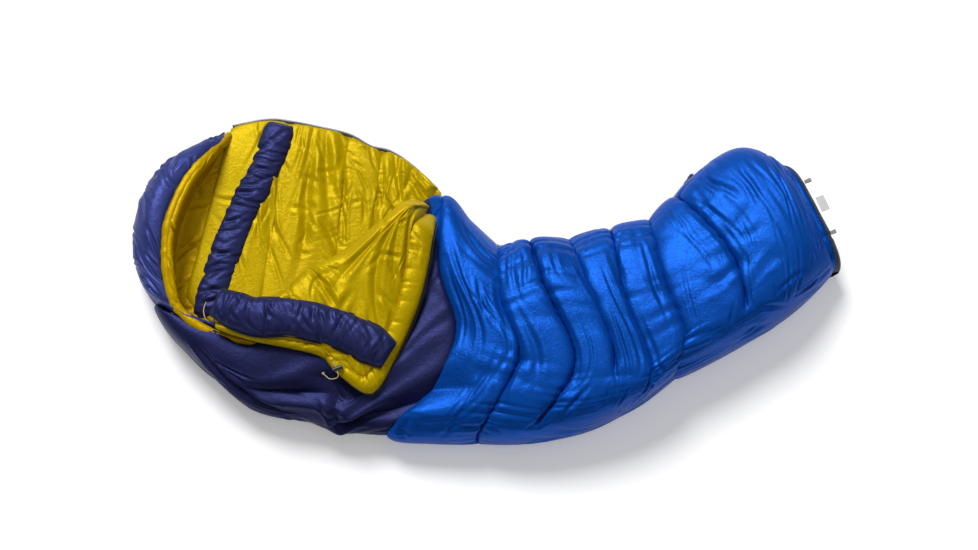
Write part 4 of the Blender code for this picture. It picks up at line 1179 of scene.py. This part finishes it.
def dress_nodes():
    """Better materials for the CAD nodes that stay."""
    finishes = {
        "upper_slider": METAL, "upper_slider_pull": METAL, "lower_slider": METAL, "lower_slider_pull": METAL,
        "hood_cord_lock": PLASTIC, "hood_cord_lock_button": PLASTIC, "hood_cord_lock_spring": STEEL,
        "collar_cord_lock": PLASTIC, "collar_cord_lock_button": PLASTIC, "collar_cord_lock_spring": STEEL,
        "hang_loop_1": WEBBING, "hang_loop_2": WEBBING, "care_label": RIBBON, "closed_zip_tape": TAPE,
    }  # fmt: skip
    for name, finish in finishes.items():
        slots = frame["nodes"][name].material_slots
        if not slots:
            frame["nodes"][name].data.materials.append(finish)
        for each in slots:
            each.material = finish


# ---------------------------------------------------------------- stage


GLOW = {"Emission Color": (1.0, 1.0, 1.0, 1.0), "Emission Strength": 0.27}  # keeps the floor's shadows pale


def make_stage():
    """Pale floor, soft light from the zip side, and the camera of the photograph."""
    scene = bpy.context.scene
    bpy.ops.mesh.primitive_plane_add(size=60, location=(0, 0, -0.0005))
    floor = bpy.context.object
    floor.name = "floor"
    paper = new_material("pale_floor", (0.90, 0.90, 0.91), 0.95, Specular_IOR_Level=0.1, **GLOW)
    floor.data.materials.append(paper)
    world = bpy.data.worlds.new("studio")
    scene.world = world
    world.use_nodes = True
    tree = world.node_tree
    coords = node(tree, "ShaderNodeTexCoord")
    toward = node(tree, "ShaderNodeVectorMath", operation="DOT_PRODUCT")
    toward.inputs[1].default_value = (-0.35, 0.80, 0.30)  # the bright side of the room
    level = node(tree, "ShaderNodeMapRange")
    level.inputs["From Min"].default_value, level.inputs["From Max"].default_value = -0.6, 0.9
    level.inputs["To Min"].default_value, level.inputs["To Max"].default_value = 0.14, 0.98
    tree.links.new(coords.outputs["Generated"], toward.inputs[0])
    tree.links.new(toward.outputs["Value"], level.inputs["Value"])
    tree.links.new(level.outputs["Result"], tree.nodes["Background"].inputs["Strength"])
    suns = (("key", (-0.35, 0.85, 1.0), 2.9, 24), ("top", (0.3, -0.1, 1.0), 0.75, 80))
    for name, place, strength, spread in suns:
        light = bpy.data.lights.new(name, "SUN")
        light.energy, light.angle = strength, math.radians(spread)
        made = bpy.data.objects.new(name, light)
        made.rotation_euler = (-Vector(place)).to_track_quat("-Z", "Y").to_euler()
        scene.collection.objects.link(made)
    camera = bpy.data.cameras.new("camera")
    camera.lens, camera.sensor_width = 85.0, 36.0
    made = bpy.data.objects.new("camera", camera)
    target, away, raised = Vector((0.013, 0.0170, 0.05)), 6.58, math.radians(75)
    made.location = target + Vector((0, -math.cos(raised), math.sin(raised))) * away
    made.rotation_euler = (target - made.location).to_track_quat("-Z", "Y").to_euler()
    scene.collection.objects.link(made)
    scene.camera = made
    scene.view_settings.view_transform = "Standard"


def main():
    make_stage()
    make_cords()
    dress_nodes()
    grid, ribs = make_top()
    make_seam_threads(grid, ribs)
    make_foot_end(grid)
    make_inner_lining(grid)
    make_base()
    make_back_lining()
    make_hood()
    make_flap_zip(*make_flap())
    on_flap, on_back = (lambda p: flap_level(p) + 0.036), (lambda p: 0.045 + 0 * p[..., 0])
    gathered("flap_collar_tube", FLAP_COLLAR, 0.104, 0.030, on_flap, 43, "flap", "flap_collar", 0.72)
    gathered("back_collar_tube", BACK_COLLAR, 0.094, 0.028, on_back, 47, "bag", "back_collar", 0.9)
    make_base_zip()
    make_closed_zip()


main()
